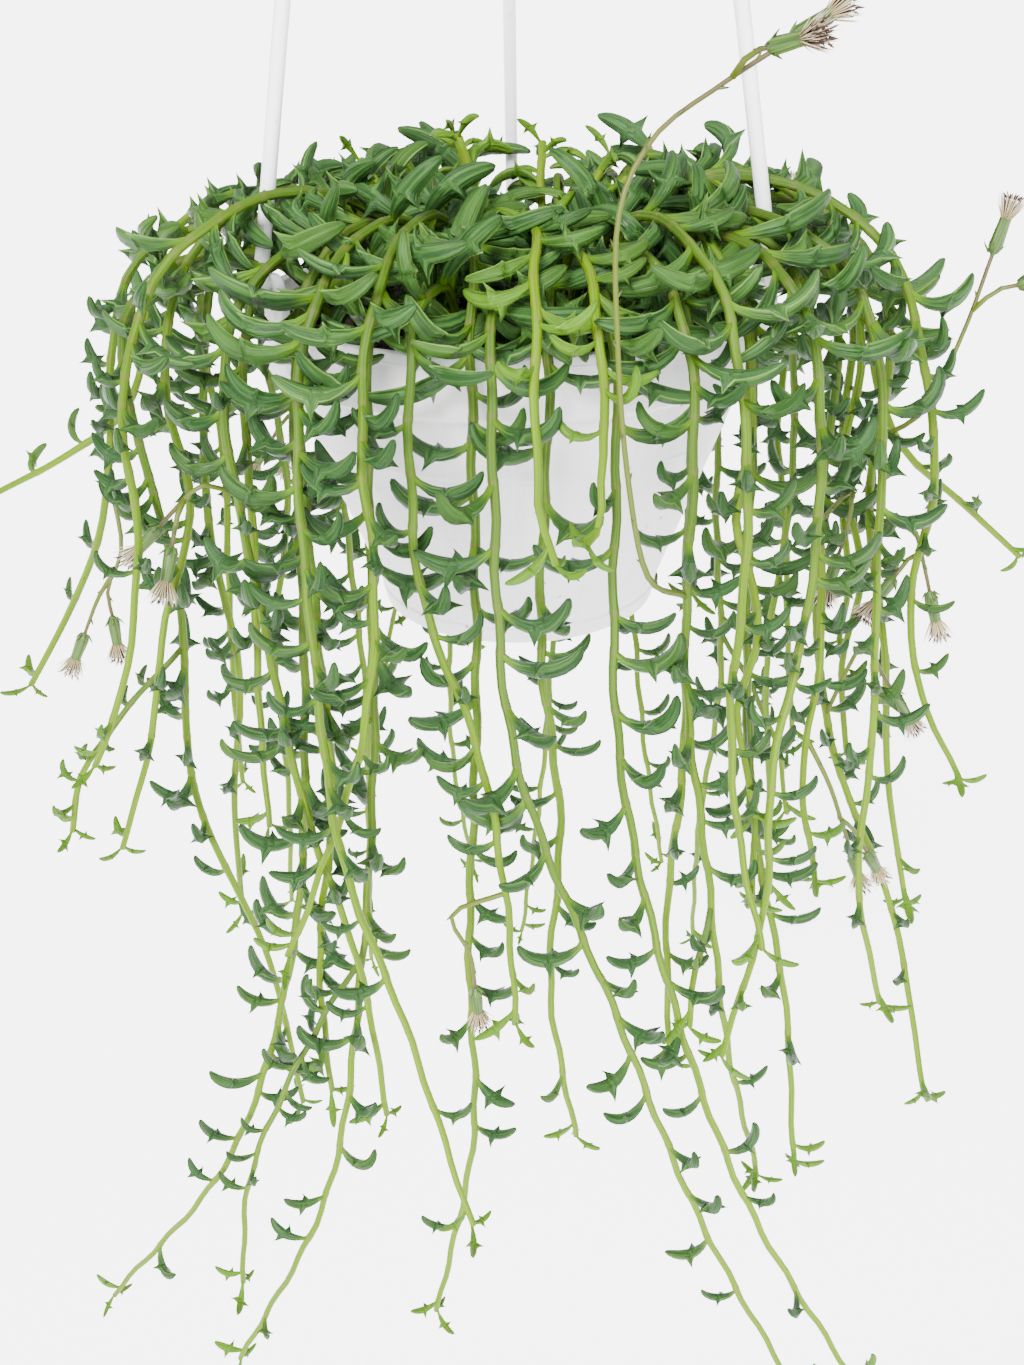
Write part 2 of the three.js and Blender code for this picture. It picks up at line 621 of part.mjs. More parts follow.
function stalkPair(route, azimuth, { at, points, fork }) {
  const start = placeAt(route, at * route.total).point;
  const main = [start, ...points.map((p) => vec(...p))];
  const routes = [measured(main, sideways(azimuth))];
  if (fork) {
    const steps = stalkSteps(routes[0]);
    const from = placeAt(routes[0], routes[0].total * (steps - 1) / steps).point;
    const end = vec(...fork);
    const middle = from.clone().lerp(end, 0.5).add(vec(0, 0, 2));
    routes.push(measured([from, middle, end], sideways(azimuth)));
  }
  return routes;
}

// A seed head's radius at shares of its length, and where the hollow of its tuft ends
const HEAD_PROFILE = [[0, 0.9], [0.08, 2.1], [0.7, 1.8], [1, 3.4]];
const HEAD_TOP = 0.86;

function flowerStalk(route) {
  const steps = stalkSteps(route);
  const sections = Array.from({ length: steps + 1 }, (unused, i) => {
    const { point, side, out } = placeAt(route, route.total * i / steps);
    return [0, 120, 240].map((angle) => (
      point.clone()
        .addScaledVector(side, STALK_RADIUS * Math.cos(radians(angle)))
        .addScaledVector(out, STALK_RADIUS * Math.sin(radians(angle)))
    ));
  });
  const end = placeAt(route, route.total);
  const head = HEAD_PROFILE.map(([t, radius]) => [0, 72, 144, 216, 288].map((angle) => (
    end.point.clone()
      .addScaledVector(end.ahead, t * HEAD_LENGTH)
      .addScaledVector(end.side, radius * Math.cos(radians(angle)))
      .addScaledVector(end.out, radius * Math.sin(radians(angle)))
  )));
  const bottom = end.point.clone().addScaledVector(end.ahead, -1);
  const top = end.point.clone().addScaledVector(end.ahead, HEAD_TOP * HEAD_LENGTH);
  const stalk = loft([[placeAt(route, 0).point], ...sections, [end.point]]);
  return toSolid(stalk).add(toSolid(loft([[bottom], ...head, [top]])));
}

function guardStalk(route, owner) {
  guardStem(route, owner, STALK_RADIUS);
  const { point, ahead } = placeAt(route, route.total);
  for (const [t, r] of [[0.1, 2.4], [0.35, 2.4], [0.6, 2.4], [0.85, 3.6]]) {
    obstacles.push({ at: point.clone().addScaledVector(ahead, t * HEAD_LENGTH), r, owner });
  }
}

const lastNode = (route) => Math.floor((route.total - LAST_NODE) / NODE_SPACING);

// The nodes where a stem gets a section: all of them over the pot, then each one with a leaf
function sections(route) {
  const list = [0];
  for (let k = 1; k <= lastNode(route); k += 1) {
    const { point } = placeAt(route, k * NODE_SPACING);
    const bends = point.z > -2 * HANG_START && k < 10;
    if (bends || k % LEAF_EVERY === 1) list.push(k * NODE_SPACING);
  }
  return [...list, route.total];
}

function leafyStem(route, owner, { thick, thin, seed, firstNode = 1, every = LEAF_EVERY, reach = 1 }) {
  const solids = [stem(route, sections(route), thick, thin)];
  const draw = seeded(seed);
  for (let k = firstNode; k <= lastNode(route); k += 1) {
    const draws = [draw(), draw(), draw()];
    if (k % every === 1 % every) {
      const leaf = growLeaf(route, owner, k, draws, reach);
      if (leaf) solids.push(leafSolid(leaf));
    }
  }
  return join(solids);
}

// Upright shoots in the middle of the pot: where each is rooted and where its tip is

const SHOOTS = [
  { foot: [-8, 24], tip: [-18, 36, 40] },
  { foot: [18, 8], tip: [34, -2, 32] },
  { foot: [-24, -4], tip: [-44, -16, 28] },
  { foot: [2, -16], tip: [8, -44, 26] },
  { foot: [16, 26], tip: [32, 48, 32] },
  { foot: [-30, 28], tip: [-50, 46, 32] },
  { foot: [-6, 2], tip: [-16, 0, 44] },
  { foot: [10, 44], tip: [10, 66, 34] },
];

function shootRoute({ foot, tip }) {
  const [x, y] = foot;
  const end = vec(...tip);
  const points = [
    vec(x, y, SOIL_TOP - ROOT_DEPTH),
    vec(x, y, SOIL_TOP + SPROUT_HEIGHT),
    vec(x, y, 0).lerp(end, 0.3).setZ(end.z * 0.35),
    vec(x, y, 0).lerp(end, 0.65).setZ(end.z * 0.75),
    end,
  ];
  const lean = vec(end.x - x, end.y - y, 0).normalize();
  return measured(points, vec(-lean.y, lean.x, 0));
}

// Soil: it fills the pot and has a plain square hole for each stem

function soil(roots) {
  const wall = innerWall().map(([r, z]) => [r - GAP * 1.5, z]);
  wall[wall.length - 1][1] += GAP;
  const profile = [
    [0, -POT_HEIGHT + WALL + GAP],
    ...wall.reverse(),
    [COLLAR_BORE - GAP, SOIL_TOP],
    [0, SOIL_TOP],
  ];
  const body = toSolid(turned(profile, POT_SIDES));
  return roots.reduce((whole, root) => {
    const bottom = root.clone().setZ(SOIL_TOP - ROOT_DEPTH - GAP);
    const top = root.clone().setZ(SOIL_TOP + SPROUT_HEIGHT);
    return whole.subtract(rodBetween(bottom, top, (STEM_RADIUS + GAP) * HOLE_ROOM, 4));
  }, body);
}

// Assembly

const model = new THREE.Group();
const plantAndPot = new THREE.Group();
plantAndPot.position.set(0, 0, -HANG_HEIGHT);
model.add(plantAndPot);

function place(name, solid, material, parent) {
  const mesh = new THREE.Mesh(toGeometry(solid), material);
  mesh.name = name;
  parent.add(mesh);
}

const strandRoutes = STRANDS.map(strandRoute);
const branchRoutes = STRANDS.map((strand, i) => (strand.branches ?? []).map((branch) => (
  branchRoute(strandRoutes[i], strand.azimuth, branch)
)));
const stalkRoutes = STRANDS.map((strand, i) => (strand.stalks ?? []).flatMap((stalk) => (
  stalkPair(strandRoutes[i], strand.azimuth, stalk)
)));
const shootRoutes = SHOOTS.map(shootRoute);
const numbered = (name, i) => `${name}_${String(i + 1).padStart(2, '0')}`;

const rootPlaces = [...strandRoutes, ...shootRoutes].map((route) => route.places[0]);

strandRoutes.forEach((route, i) => guardStem(route, numbered('strand', i), STEM_RADIUS));
branchRoutes.forEach((list, i) => {
  list.forEach((route) => guardStem(route, numbered('strand', i), BRANCH_RADIUS));
});
stalkRoutes.forEach((list, i) => {
  list.forEach((route) => guardStalk(route, numbered('strand', i)));
});
shootRoutes.forEach((route, i) => guardStem(route, numbered('shoot', i), STEM_RADIUS));

place('pot', pot(), potPlastic, plantAndPot);
place('soil', soil(rootPlaces), pottingSoil, plantAndPot);
place('hanger_hook', hook(), hangerPlastic, model);
ARM_AZIMUTHS.forEach((azimuth, i) => place(`hanger_arm_${i + 1}`, arm(azimuth), hangerPlastic, plantAndPot));

shootRoutes.forEach((route, i) => {
  const name = numbered('shoot', i);
  const shape = { thick: STEM_RADIUS, thin: SHOOT_TIP_RADIUS, seed: 100 + i, every: 1, reach: 1.05 };
  place(name, leafyStem(route, name, shape), shootGreen, plantAndPot);
});
strandRoutes.forEach((route, i) => {
  const name = numbered('strand', i);
  const grown = [
    leafyStem(route, name, { thick: STEM_RADIUS, thin: TIP_RADIUS, seed: 1 + i, firstNode: 2 }),
    ...branchRoutes[i].map((branch, j) => (
      leafyStem(branch, name, { thick: BRANCH_RADIUS, thin: TIP_RADIUS, seed: 200 + 3 * i + j, reach: 0.85 })
    )),
    ...stalkRoutes[i].map(flowerStalk),
  ];
  place(name, join(grown), strandGreen, plantAndPot);
});

export default model;
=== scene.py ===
"""Looks of a hanging pot of string of dolphins, a trailing succulent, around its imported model.

Lengths are in millimetres from the centre of the pot's rim plane until a mesh is made, and
in metres after that. The plant follows the same routes and rules as the solids, so that each
leaf of the solids has its fine leaf here in the same place, and the rest fill in between.
"""

import math

import bpy
import numpy as np
from mathutils import Matrix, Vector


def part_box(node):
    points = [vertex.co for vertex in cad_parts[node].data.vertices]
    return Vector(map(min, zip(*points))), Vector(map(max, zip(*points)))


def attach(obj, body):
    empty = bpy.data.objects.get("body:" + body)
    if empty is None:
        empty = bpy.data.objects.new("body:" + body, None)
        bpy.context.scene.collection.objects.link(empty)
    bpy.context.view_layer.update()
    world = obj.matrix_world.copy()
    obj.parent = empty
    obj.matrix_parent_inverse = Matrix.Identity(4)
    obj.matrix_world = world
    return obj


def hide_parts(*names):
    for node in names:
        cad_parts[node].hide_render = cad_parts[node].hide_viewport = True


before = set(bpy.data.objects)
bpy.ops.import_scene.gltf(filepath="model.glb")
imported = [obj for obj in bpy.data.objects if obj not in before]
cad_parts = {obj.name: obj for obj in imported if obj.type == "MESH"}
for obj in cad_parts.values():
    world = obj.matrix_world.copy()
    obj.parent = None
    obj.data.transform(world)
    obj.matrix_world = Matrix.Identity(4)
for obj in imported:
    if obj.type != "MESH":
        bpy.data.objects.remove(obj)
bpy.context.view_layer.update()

MM = 0.001
TURN = 2 * math.pi

# Sizes shared with the solids

RIM_RADIUS = 80
POT_HEIGHT = 100
BASE_RADIUS = 45
WALL = 2
COLLAR_HEIGHT = 18
COLLAR_FOOT_RADIUS = 78
COLLAR_BORE = 76
SHOULDER_RADIUS = 74
FOOT_HEIGHT = 6
FOOT_DRAFT = 1
HANG_HEIGHT = 450

SOIL_TOP = -8
ROOT_DEPTH = 7
SPROUT_HEIGHT = 5
HANG_START = 14

ROD_RADIUS = 2.1
HOOK_RADIUS = 2.6
HOOK_BEND = 13
HUB_TOP = -46
HUB_HEIGHT = 13
HUB_RADIUS = 11
HUB_SHOULDER = 5
HUB_NECK_RADIUS = 4.5
SOCKET_ROOF = 6
ARM_SPREAD = 7.4
ARM_AZIMUTHS = (90, 210, 330)
PIN_HEAD_RADIUS = 3.4
PIN_HEAD_LENGTH = 2
GAP = 0.3

LUG_WIDTH = 14
LUG_HEIGHT = 14
LUG_ROOT = 6
LUG_THICKNESS = 2.6
LUG_RADIUS = 78
LUG_HOLE_RADIUS = 2.5
LUG_HOLE_HEIGHT = 7.5
ARM_LEAN = (LUG_HEIGHT - LUG_HOLE_HEIGHT) * RIM_RADIUS / (HANG_HEIGHT + HUB_TOP)
ARM_FOOT_RADIUS = LUG_RADIUS + LUG_THICKNESS / 2 + GAP + ROD_RADIUS + ARM_LEAN

STEM_RADIUS = 1.4
BRANCH_RADIUS = 1.1
TIP_RADIUS = 0.7
SHOOT_TIP_RADIUS = 1
STALK_RADIUS = 0.9
HEAD_LENGTH = 17
NODE_SPACING = 16
LEAF_EVERY = 3
LAST_NODE = 6
ROUTE_STEPS = 240
LEAF_WIDTH = 0.09
LEAF_THICKNESS = 0.12
FIN_LENGTH = 0.14
LEAF_LIFT = math.radians(35)
YOUNG_STRETCH = 260
YOUNG_SIZE = 0.6
CLEARANCE = 0.35
WANDER = 5
WANDER_DROP = 150
WANDER_SEED = 900

# The pot's rim plane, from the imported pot
rim_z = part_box("pot")[0].z + POT_HEIGHT * MM

# Strands: azimuth where it crosses the rim, radius of its root and how far round that lies,
# crest over the rim, how far out it hangs, how far down, and its end's flare, drift and how
# near the end it drifts

STRANDS = [
    (186, 46, -6, 22, 44, 128, 44, 0, 3),
    (177, 30, 8, 30, 38, 72, 66, -8, 2),
    (199, 58, 0, 18, 40, 300, -30, 10, 1.5),
    (193, 40, 6, 26, 16, 225, 14, -6, 2),
    (220, 56, -4, 21, 18, 158, 2, -10, 1.5),
    (229, 36, 4, 28, 12, 368, 64, -76, 3.4),
    (236, 58, 2, 18, 22, 250, 6, -10, 2),
    (245, 44, -3, 22, 13, 382, 34, -62, 3),
    (254, 58, 2, 17, 21, 200, 2, 30, 1.5),
    (262, 34, -6, 25, 8, 350, 4, -22, 3),
    (266, 58, 0, 15, 19, 385, 14, 108, 1.8),
    (272, 30, 10, 29, 30, 44, 2, 4, 2),
    (275, 56, 4, 16, 7, 270, 2, 8, 2),
    (281, 42, 4, 25, 29, 40, 2, -4, 2),
    (285, 58, 3, 15, 16, 376, 44, 86, 2.6),
    (294, 40, 2, 24, 28, 302, -4, 46, 1.7),
    (301, 58, 2, 16, 10, 230, 8, -8, 2),
    (307, 34, 6, 29, 22, 140, 6, 6, 2),
    (314, 58, 0, 19, 12, 288, 34, 10, 2),
    (321, 44, 0, 26, 25, 176, 8, 4, 2),
    (339, 58, 0, 20, 20, 264, 60, -18, 2.4),
    (346, 38, 0, 28, 34, 206, 24, -6, 2),
    (354, 56, 0, 22, 24, 122, 10, 4, 2),
    (3, 36, 4, 30, 32, 100, 68, 6, 2),
    (13, 56, 0, 21, 13, 262, 22, 12, 2.5),
    (25, 40, 0, 28, 25, 188, 10, -8, 2),
    (37, 56, 2, 21, 12, 330, 34, 30, 2.6),
    (50, 38, 0, 31, 24, 150, 12, 6, 2),
    (64, 56, 0, 24, 12, 284, 20, -18, 2.4),
    (79, 58, -4, 22, 12, 342, 24, 26, 2.6),
    (101, 44, 4, 30, 22, 172, 8, -6, 2),
    (112, 58, 2, 24, 12, 304, 26, -22, 2.4),
    (124, 38, 0, 31, 25, 222, 12, 8, 2),
    (136, 56, 0, 22, 12, 352, 36, -30, 2.8),
    (158, 56, 0, 21, 13, 272, 22, -12, 2.4),
    (168, 42, 0, 28, 25, 198, 12, -10, 2),
    (204, 30, 4, 34, 30, 168, 30, -6, 2),
    (225, 46, 2, 25, 30, 246, -8, 40, 1.6),
    (240, 30, 6, 31, 32, 262, 10, 46, 2),
    (249, 24, 0, 32, 30, 180, 6, -34, 2),
    (299, 30, 4, 31, 36, 176, 10, 8, 2),
    (310, 46, 5, 26, 40, 216, 4, -20, 1.8),
    (325, 32, 0, 29, 40, 226, 24, 6, 2),
    (343, 28, -12, 36, 26, 158, 10, 14, 2),
    (216, 24, 4, 36, 50, 120, 22, -8, 2),
    (335, 22, -10, 36, 46, 150, 20, 20, 2),
]

# Side branches by their strand's azimuth: the share of the strand where each leaves it, and
# how far outward, sideways and up its tip lies from there
BRANCHES = {
    199: [(0.5, (44, 4, -58))],
    245: [(0.58, (24, -48, -150))],
    294: [(0.66, (8, -11, -38))],
    314: [(0.5, (16, -12, -62))],
    37: [(0.55, (18, -26, -80))],
    112: [(0.5, (26, 18, -70))],
}

# Flower stalks by their strand's azimuth: where each leaves it, its points, and its fork's end
STALKS = {
    186: [(0.65, [(-127, -22, -74), (-133, -24, -88), (-133, -24, -98)], (-143, -24, -104))],
    220: [(0.52, [(-88, -66, -38), (-96, -66, -44), (-102, -66, -50)], (-98, -72, -54))],
    254: [(0.82, [(-22, -104, -160), (-17, -103, -176), (-16, -102, -190)], None)],
    294: [(
        0.4,
        [
            (32, -112, -48), (26, -114, -20), (23, -113, 12), (23, -109, 40),
            (31, -104, 56), (46, -99, 66), (62, -95, 75),
        ],
        (55, -106, 74),
    )],
    321: [(0.8, [(95, -70, -138), (101, -68, -154), (106, -66, -168)], (112, -62, -170))],
    339: [
        (0.4, [(98, -48, -50), (97, -52, -60), (95, -53, -68)], None),
        (0.58, [(106, -50, -100), (112, -51, -108), (117, -52, -116)], None),
    ],
    346: [
        (0.48, [(121, -34, -30), (130, -32, -8), (136, -30, 14)], (143, -34, 6)),
        (0.56, [(119, -42, -64), (123, -45, -74), (126, -46, -84)], (114, -48, -78)),
    ],
    37: [(0.3, [(84, 66, -30), (92, 76, -20), (98, 84, 4)], None)],
    136: [(0.4, [(-78, 78, -58), (-84, 84, -66), (-88, 88, -78)], (-94, 80, -74))],
}

# Upright shoots in the middle of the pot: where each is rooted and where its tip is
SHOOTS = [
    ((-8, 24), (-18, 36, 40)),
    ((18, 8), (34, -2, 32)),
    ((-24, -4), (-44, -16, 28)),
    ((2, -16), (8, -44, 26)),
    ((16, 26), (32, 48, 32)),
    ((-30, 28), (-50, 46, 32)),
    ((-6, 2), (-16, 0, 44)),
    ((10, 44), (10, 66, 34)),
]


# Places and routes


def outward(azimuth):
    """The level direction away from the pot's axis at an azimuth in degrees."""
    angle = math.radians(azimuth)
    return np.array([math.cos(angle), math.sin(angle), 0.0])


def sideways(azimuth):
    """The level direction round the pot's axis at an azimuth in degrees."""
    angle = math.radians(azimuth)
    return np.array([-math.sin(angle), math.cos(angle), 0.0])


def polar(azimuth, radius, z, side=0.0):
    """The point at a radius and a height, and so far to the side of the azimuth's line."""
    point = outward(azimuth) * radius + sideways(azimuth) * side
    point[2] = z
    return point


def unit(vectors):
    return vectors / np.linalg.norm(vectors, axis=-1, keepdims=True)


class Route:
    """A smooth curve through given points, a Catmull-Rom spline of tension one half, cut
    into equal steps of its parameter. Its frame has one side along the given direction."""

    def __init__(self, points, side):
        knots = np.array(points, float)
        ends = np.vstack([2 * knots[0] - knots[1], knots, 2 * knots[-1] - knots[-2]])
        t = np.linspace(0, 1, ROUTE_STEPS + 1) * (len(knots) - 1)
        first = np.minimum(t.astype(int), len(knots) - 2)
        w = (t - first)[:, None]
        before, start, end, after = (ends[first + i] for i in range(4))
        leave, arrive = 0.5 * (end - before), 0.5 * (after - start)
        square = -3 * start + 3 * end - 2 * leave - arrive
        cube = 2 * start - 2 * end + leave + arrive
        self.places = start + leave * w + square * w**2 + cube * w**3
        steps = np.linalg.norm(np.diff(self.places, axis=0), axis=1)
        self.lengths = np.concatenate([[0.0], np.cumsum(steps)])
        self.total = self.lengths[-1]
        self.side = np.array(side, float)

    def place(self, length):
        """The point at a length along the route, and the frame of the step that it lies in."""
        s = min(max(length, 0.0), self.total)
        i = int(np.clip(np.searchsorted(self.lengths, s, side="left"), 1, ROUTE_STEPS))
        start, end = self.places[i - 1], self.places[i]
        t = (s - self.lengths[i - 1]) / (self.lengths[i] - self.lengths[i - 1])
        ahead = unit(end - start)
        side = unit(self.side - ahead * (self.side @ ahead))
        return start + (end - start) * t, ahead, side, np.cross(ahead, side)

    def frames(self, lengths):
        """Points and smooth frames at an array of lengths along the route."""

        def along(values):
            return np.stack([np.interp(lengths, self.lengths, values[:, i]) for i in range(3)], 1)

        points = along(self.places)
        ahead = unit(along(unit(np.gradient(self.places, axis=0))))
        side = unit(self.side - ahead * (ahead @ self.side)[:, None])
        return points, ahead, side, np.cross(ahead, side)

    def last_node(self):
        return math.floor((self.total - LAST_NODE) / NODE_SPACING)


def strand_route(azimuth, root, turn, crest, over, drop, flare, drift, late):
    """A strand rises from its root, arches over the rim by its crest and hangs down. Outside the
    rim its flare grows with the square of the share hung, and its drift with the power late
    of that share, and each point wanders a little."""
    heights = (0, SOIL_TOP - ROOT_DEPTH, SOIL_TOP + SPROUT_HEIGHT)
    ground, *points = [polar(azimuth + turn, root, z) for z in heights]
    rim = RIM_RADIUS + over
    for t, z in ((0.25, crest * 0.8), (0.55, crest), (0.86, crest * 0.55)):
        point = ground + (polar(azimuth, rim, 0) - ground) * t
        points.append(np.array([point[0], point[1], z]))
    points.append(polar(azimuth, rim, -HANG_START))
    draw = seeded(WANDER_SEED + azimuth)
    reach = WANDER * min(1, drop / WANDER_DROP)
    for t in (0.25, 0.5, 0.75, 1):
        z = -HANG_START - (drop - HANG_START) * t
        out, side = (reach * (2 * next(draw) - 1) for i in range(2))
        points.append(polar(azimuth, rim + flare * t**2 + out, z, drift * t**late + side))
    return Route(points, sideways(azimuth))


def branch_route(route, azimuth, at, offset):
    """A branch leaves its strand at the nearest node. It goes out and aside by a quarter sine of
    its share, and rises or falls evenly with it."""
    start = route.place(NODE_SPACING * math.floor(at * route.total / NODE_SPACING + 0.5))[0]
    out, side, up = offset
    points = []
    for t in (0, 0.3, 0.65, 1):
        ease = math.sin(t * math.pi / 2)
        point = start + outward(azimuth) * out * ease + sideways(azimuth) * side * ease
        points.append(point + (0, 0, up * t))
    return Route(points, sideways(azimuth))


def stalk_steps(route):
    """How many parts a stalk has: its length in node spacings, and at least three."""
    return max(3, math.floor(route.total / NODE_SPACING + 0.5))


def stalk_routes(route, azimuth, at, points, fork):
    """A stalk through its points, and its fork, which leaves it one part before its end."""
    start = route.place(at * route.total)[0]
    routes = [Route([start, *points], sideways(azimuth))]
    if fork:
        steps = stalk_steps(routes[0])
        split = routes[0].place(routes[0].total * (steps - 1) / steps)[0]
        end = np.array(fork, float)
        middle = (split + end) / 2 + (0, 0, 2)
        routes.append(Route([split, middle, end], sideways(azimuth)))
    return routes


def shoot_route(foot, tip):
    """A shoot stands up from the soil and leans over to its tip, rising ahead of its lean."""
    x, y = foot
    end = np.array(tip, float)
    ground = np.array([x, y, 0.0])
    points = [(x, y, SOIL_TOP - ROOT_DEPTH), (x, y, SOIL_TOP + SPROUT_HEIGHT)]
    for share, height in ((0.3, 0.35), (0.65, 0.75)):
        point = ground + (end - ground) * share
        points.append((point[0], point[1], end[2] * height))
    lean = unit(np.array([end[0] - x, end[1] - y, 0.0]))
    return Route([*points, end], (-lean[1], lean[0], 0))


# Leaves: where each one grows. A leaf's spine is an arc that leaves the stem ahead and turns
# away from it and back.

# The least and the spread of a leaf's length, its swing about the stem and how far it curls
MOUND_LEAF = {"length": (23, 10), "swing": (45, 95), "curl": (60, 70)}
HANGING_LEAF = {"length": (19, 8), "swing": (30, 75), "curl": (100, 60)}
TURNS = (0, 25, -25, 50, -50, 75, -75)
SHRINKS = (1, 0.85)

# The leaves between, which may stand closer: the least gap may be an overlap of the balls
LOOSE_TURNS = (0, 20, -20, 40, -40, 65, -65, 90, -90, 130, -130, 180)
LOOSE_SHRINKS = (1, 0.85, 0.7)
LOOSE_GAP = -0.8
LOOSE_SLACK = 0.75

# Where they grow: the shares of a stem up to which they are many and then few, the first place
# and how far a place may shift, both in nodes
CROWDED_SHARE = 0.68
BARE_SHARE = 0.8
FIRST_NODE = 0.6
JITTER = 0.36

# The mound's outline, level to a radius and sloping down from there
ROOF_TOP = 48
ROOF_RADIUS = 45
ROOF_SLOPE = 0.3

# How far from a tip leaves look young, and how soon along a stem its fresh look sets in
YOUNG_LOOKS = 110
FRESH_RISE = 1.6

# Balls that cover a leaf: the share of its length and the share of its thickness. Those of its
# fins have the share of its length, the edge, how far out on the fin and the radius.
BALL_PLACES = np.array([0.22, 0.36, 0.5, 0.64, 0.78, 0.92, 1.0])
BALL_SIZES = np.array([0.72, 0.72, 0.72, 0.72, 0.72, 0.4, 0.15])
FIN_BALLS = ((0.5, 1, 0.5, 2.2), (0.5, 1, 1, 0.9), (0.62, -1, 0.5, 2.2), (0.62, -1, 1, 0.9))


def spine_point(leaf, u):
    """The point at a share u of a leaf's spine: an arc of even curvature that starts at the
    leaf's lift from the stem and turns by its curl."""
    angle = LEAF_LIFT + leaf["curl"] * u
    radius = leaf["length"] / leaf["curl"]
    ahead = radius * (np.sin(angle) - math.sin(LEAF_LIFT))
    away = radius * (math.cos(LEAF_LIFT) - np.cos(angle))
    return leaf["base"] + np.multiply.outer(ahead, leaf["ahead"]) + np.multiply.outer(away, leaf["away"])


def turned_away(side, out, degrees):
    """The direction at an angle round a stem, from its outside towards its side."""
    angle = math.radians(degrees)
    return out * math.cos(angle) + side * math.sin(angle)


def leaf_at(point, ahead, away, length, curl, youth, mound):
    """A leaf's place and directions, its length and curl, and how young and high it is."""
    return {
        "base": point,
        "ahead": ahead,
        "away": away,
        "across": np.cross(ahead, away),
        "length": length,
        "curl": math.radians(curl),
        "youth": youth,
        "mound": mound,
    }


def leaf_balls(leaf):
    """The centres and radii of the balls that cover a leaf and its fins."""
    thick = LEAF_THICKNESS * leaf["length"]
    at = [spine_point(leaf, BALL_PLACES)]
    sizes = list(BALL_SIZES * thick)
    for u, way, reach, size in FIN_BALLS:
        offset = (LEAF_WIDTH + FIN_LENGTH * reach) * leaf["length"] * way
        at.append(spine_point(leaf, u)[None] + leaf["across"] * offset)
        sizes.append(size)
    return np.vstack(at), np.array(sizes)


def bowl_radius(z):
    """The bowl's outer radius, which falls evenly from the collar's foot to the foot band."""
    depth = np.clip((-z - COLLAR_HEIGHT) / (POT_HEIGHT - COLLAR_HEIGHT - FOOT_HEIGHT), 0, 1)
    return SHOULDER_RADIUS + (BASE_RADIUS + FOOT_DRAFT - SHOULDER_RADIUS) * depth


def clear_of_pot(at, sizes, gap):
    """Whether balls lie a gap away from the pot and its soil: above the rim's plane or outside
    it, inside over the soil, outside the bowl below the collar, or under the base."""
    radius = np.hypot(at[:, 0], at[:, 1])
    space = sizes + gap
    z = at[:, 2]
    over = (z > space) | (radius > RIM_RADIUS + space)
    inside = (radius < COLLAR_BORE - space) & (z > SOIL_TOP + space)
    inner = radius < COLLAR_BORE - space
    below = (z < -COLLAR_HEIGHT - space) & (radius > bowl_radius(z) + space)
    under = z < -POT_HEIGHT - space
    return bool(np.all(over | inside | (~inner & (below | under))))


class Obstacles:
    """What leaves keep clear of, as balls. A ball of a stem doesn't stop its own leaves."""

    MOST = 60000
    LARGEST = 8

    def __init__(self):
        self.at = np.zeros((self.MOST, 3))
        self.sizes = np.zeros(self.MOST)
        self.owners = np.zeros(self.MOST, int)
        self.count = 0

    def add(self, at, sizes, owner):
        more = len(at)
        rows = slice(self.count, self.count + more)
        self.at[rows] = at
        self.sizes[rows] = sizes
        self.owners[rows] = owner
        self.count += more

    def near(self, point, reach, owner):
        rows = slice(0, self.count)
        close = ((self.at[rows] - point) ** 2).sum(1) < (reach + self.LARGEST) ** 2
        close &= self.owners[rows] != owner
        return self.at[rows][close], self.sizes[rows][close]


def overlap_free(balls, others, gap):
    """Whether balls lie a gap away from the pot and from other balls."""
    at, sizes = balls
    if not clear_of_pot(at, sizes, gap):
        return False
    other_at, other_sizes = others
    distance = ((at[:, None] - other_at[None]) ** 2).sum(2)
    return bool(np.all(distance > (sizes[:, None] + other_sizes[None] + gap) ** 2))


NOBODY = -1
obstacles = Obstacles()


def seeded(seed):
    """Shares from 0 to 1 by a linear congruence, the same each time."""
    state = (seed * 2654435761 + 12345) % 2**32
    while True:
        state = (state * 1664525 + 1013904223) % 2**32
        yield state / 2**32


def under_roof(at):
    """Whether balls lie under the mound's outline, which falls off from its middle."""
    beyond = np.maximum(np.hypot(at[:, 0], at[:, 1]) - ROOF_RADIUS, 0)
    return bool(np.all(at[:, 2] < ROOF_TOP - ROOF_SLOPE * beyond))


def grow_leaf(route, owner, k, draws, reach, fresh=0.0, loose=False):
    """A leaf at node k, or between nodes: it is turned about the stem, then shortened, until it
    is clear. A loose one may come closer to the rest, and keeps under the mound's outline."""
    s = k * NODE_SPACING
    point, ahead, side, out = route.place(s)
    kind = MOUND_LEAF if point[2] > 0 else HANGING_LEAF
    full, swing, curl = (least + spread * draw for (least, spread), draw in zip(kind.values(), draws))
    grown = min(max((route.total - s) / YOUNG_STRETCH, 0), 1)
    youth = 1 - min((route.total - s) / YOUNG_LOOKS, 1)
    youth = max(youth, fresh * min(1, FRESH_RISE * s / route.total))
    length = full * (YOUNG_SIZE + (1 - YOUNG_SIZE) * grown) * reach
    way = 1 if (2 * k) % 4 < 2 else -1
    gap, slack = (LOOSE_GAP, LOOSE_SLACK) if loose else (CLEARANCE, 1)
    others = obstacles.near(point, length, owner)
    for shrink in LOOSE_SHRINKS if loose else SHRINKS:
        for step in LOOSE_TURNS if loose else TURNS:
            away = turned_away(side, out, way * swing + step)
            leaf = leaf_at(point, ahead, away, length * shrink, curl, youth, float(point[2] > 0))
            at, sizes = leaf_balls(leaf)
            if loose and not under_roof(at):
                continue
            if overlap_free((at, sizes * slack), others, gap):
                obstacles.add(at, sizes, NOBODY)
                return leaf
    return None


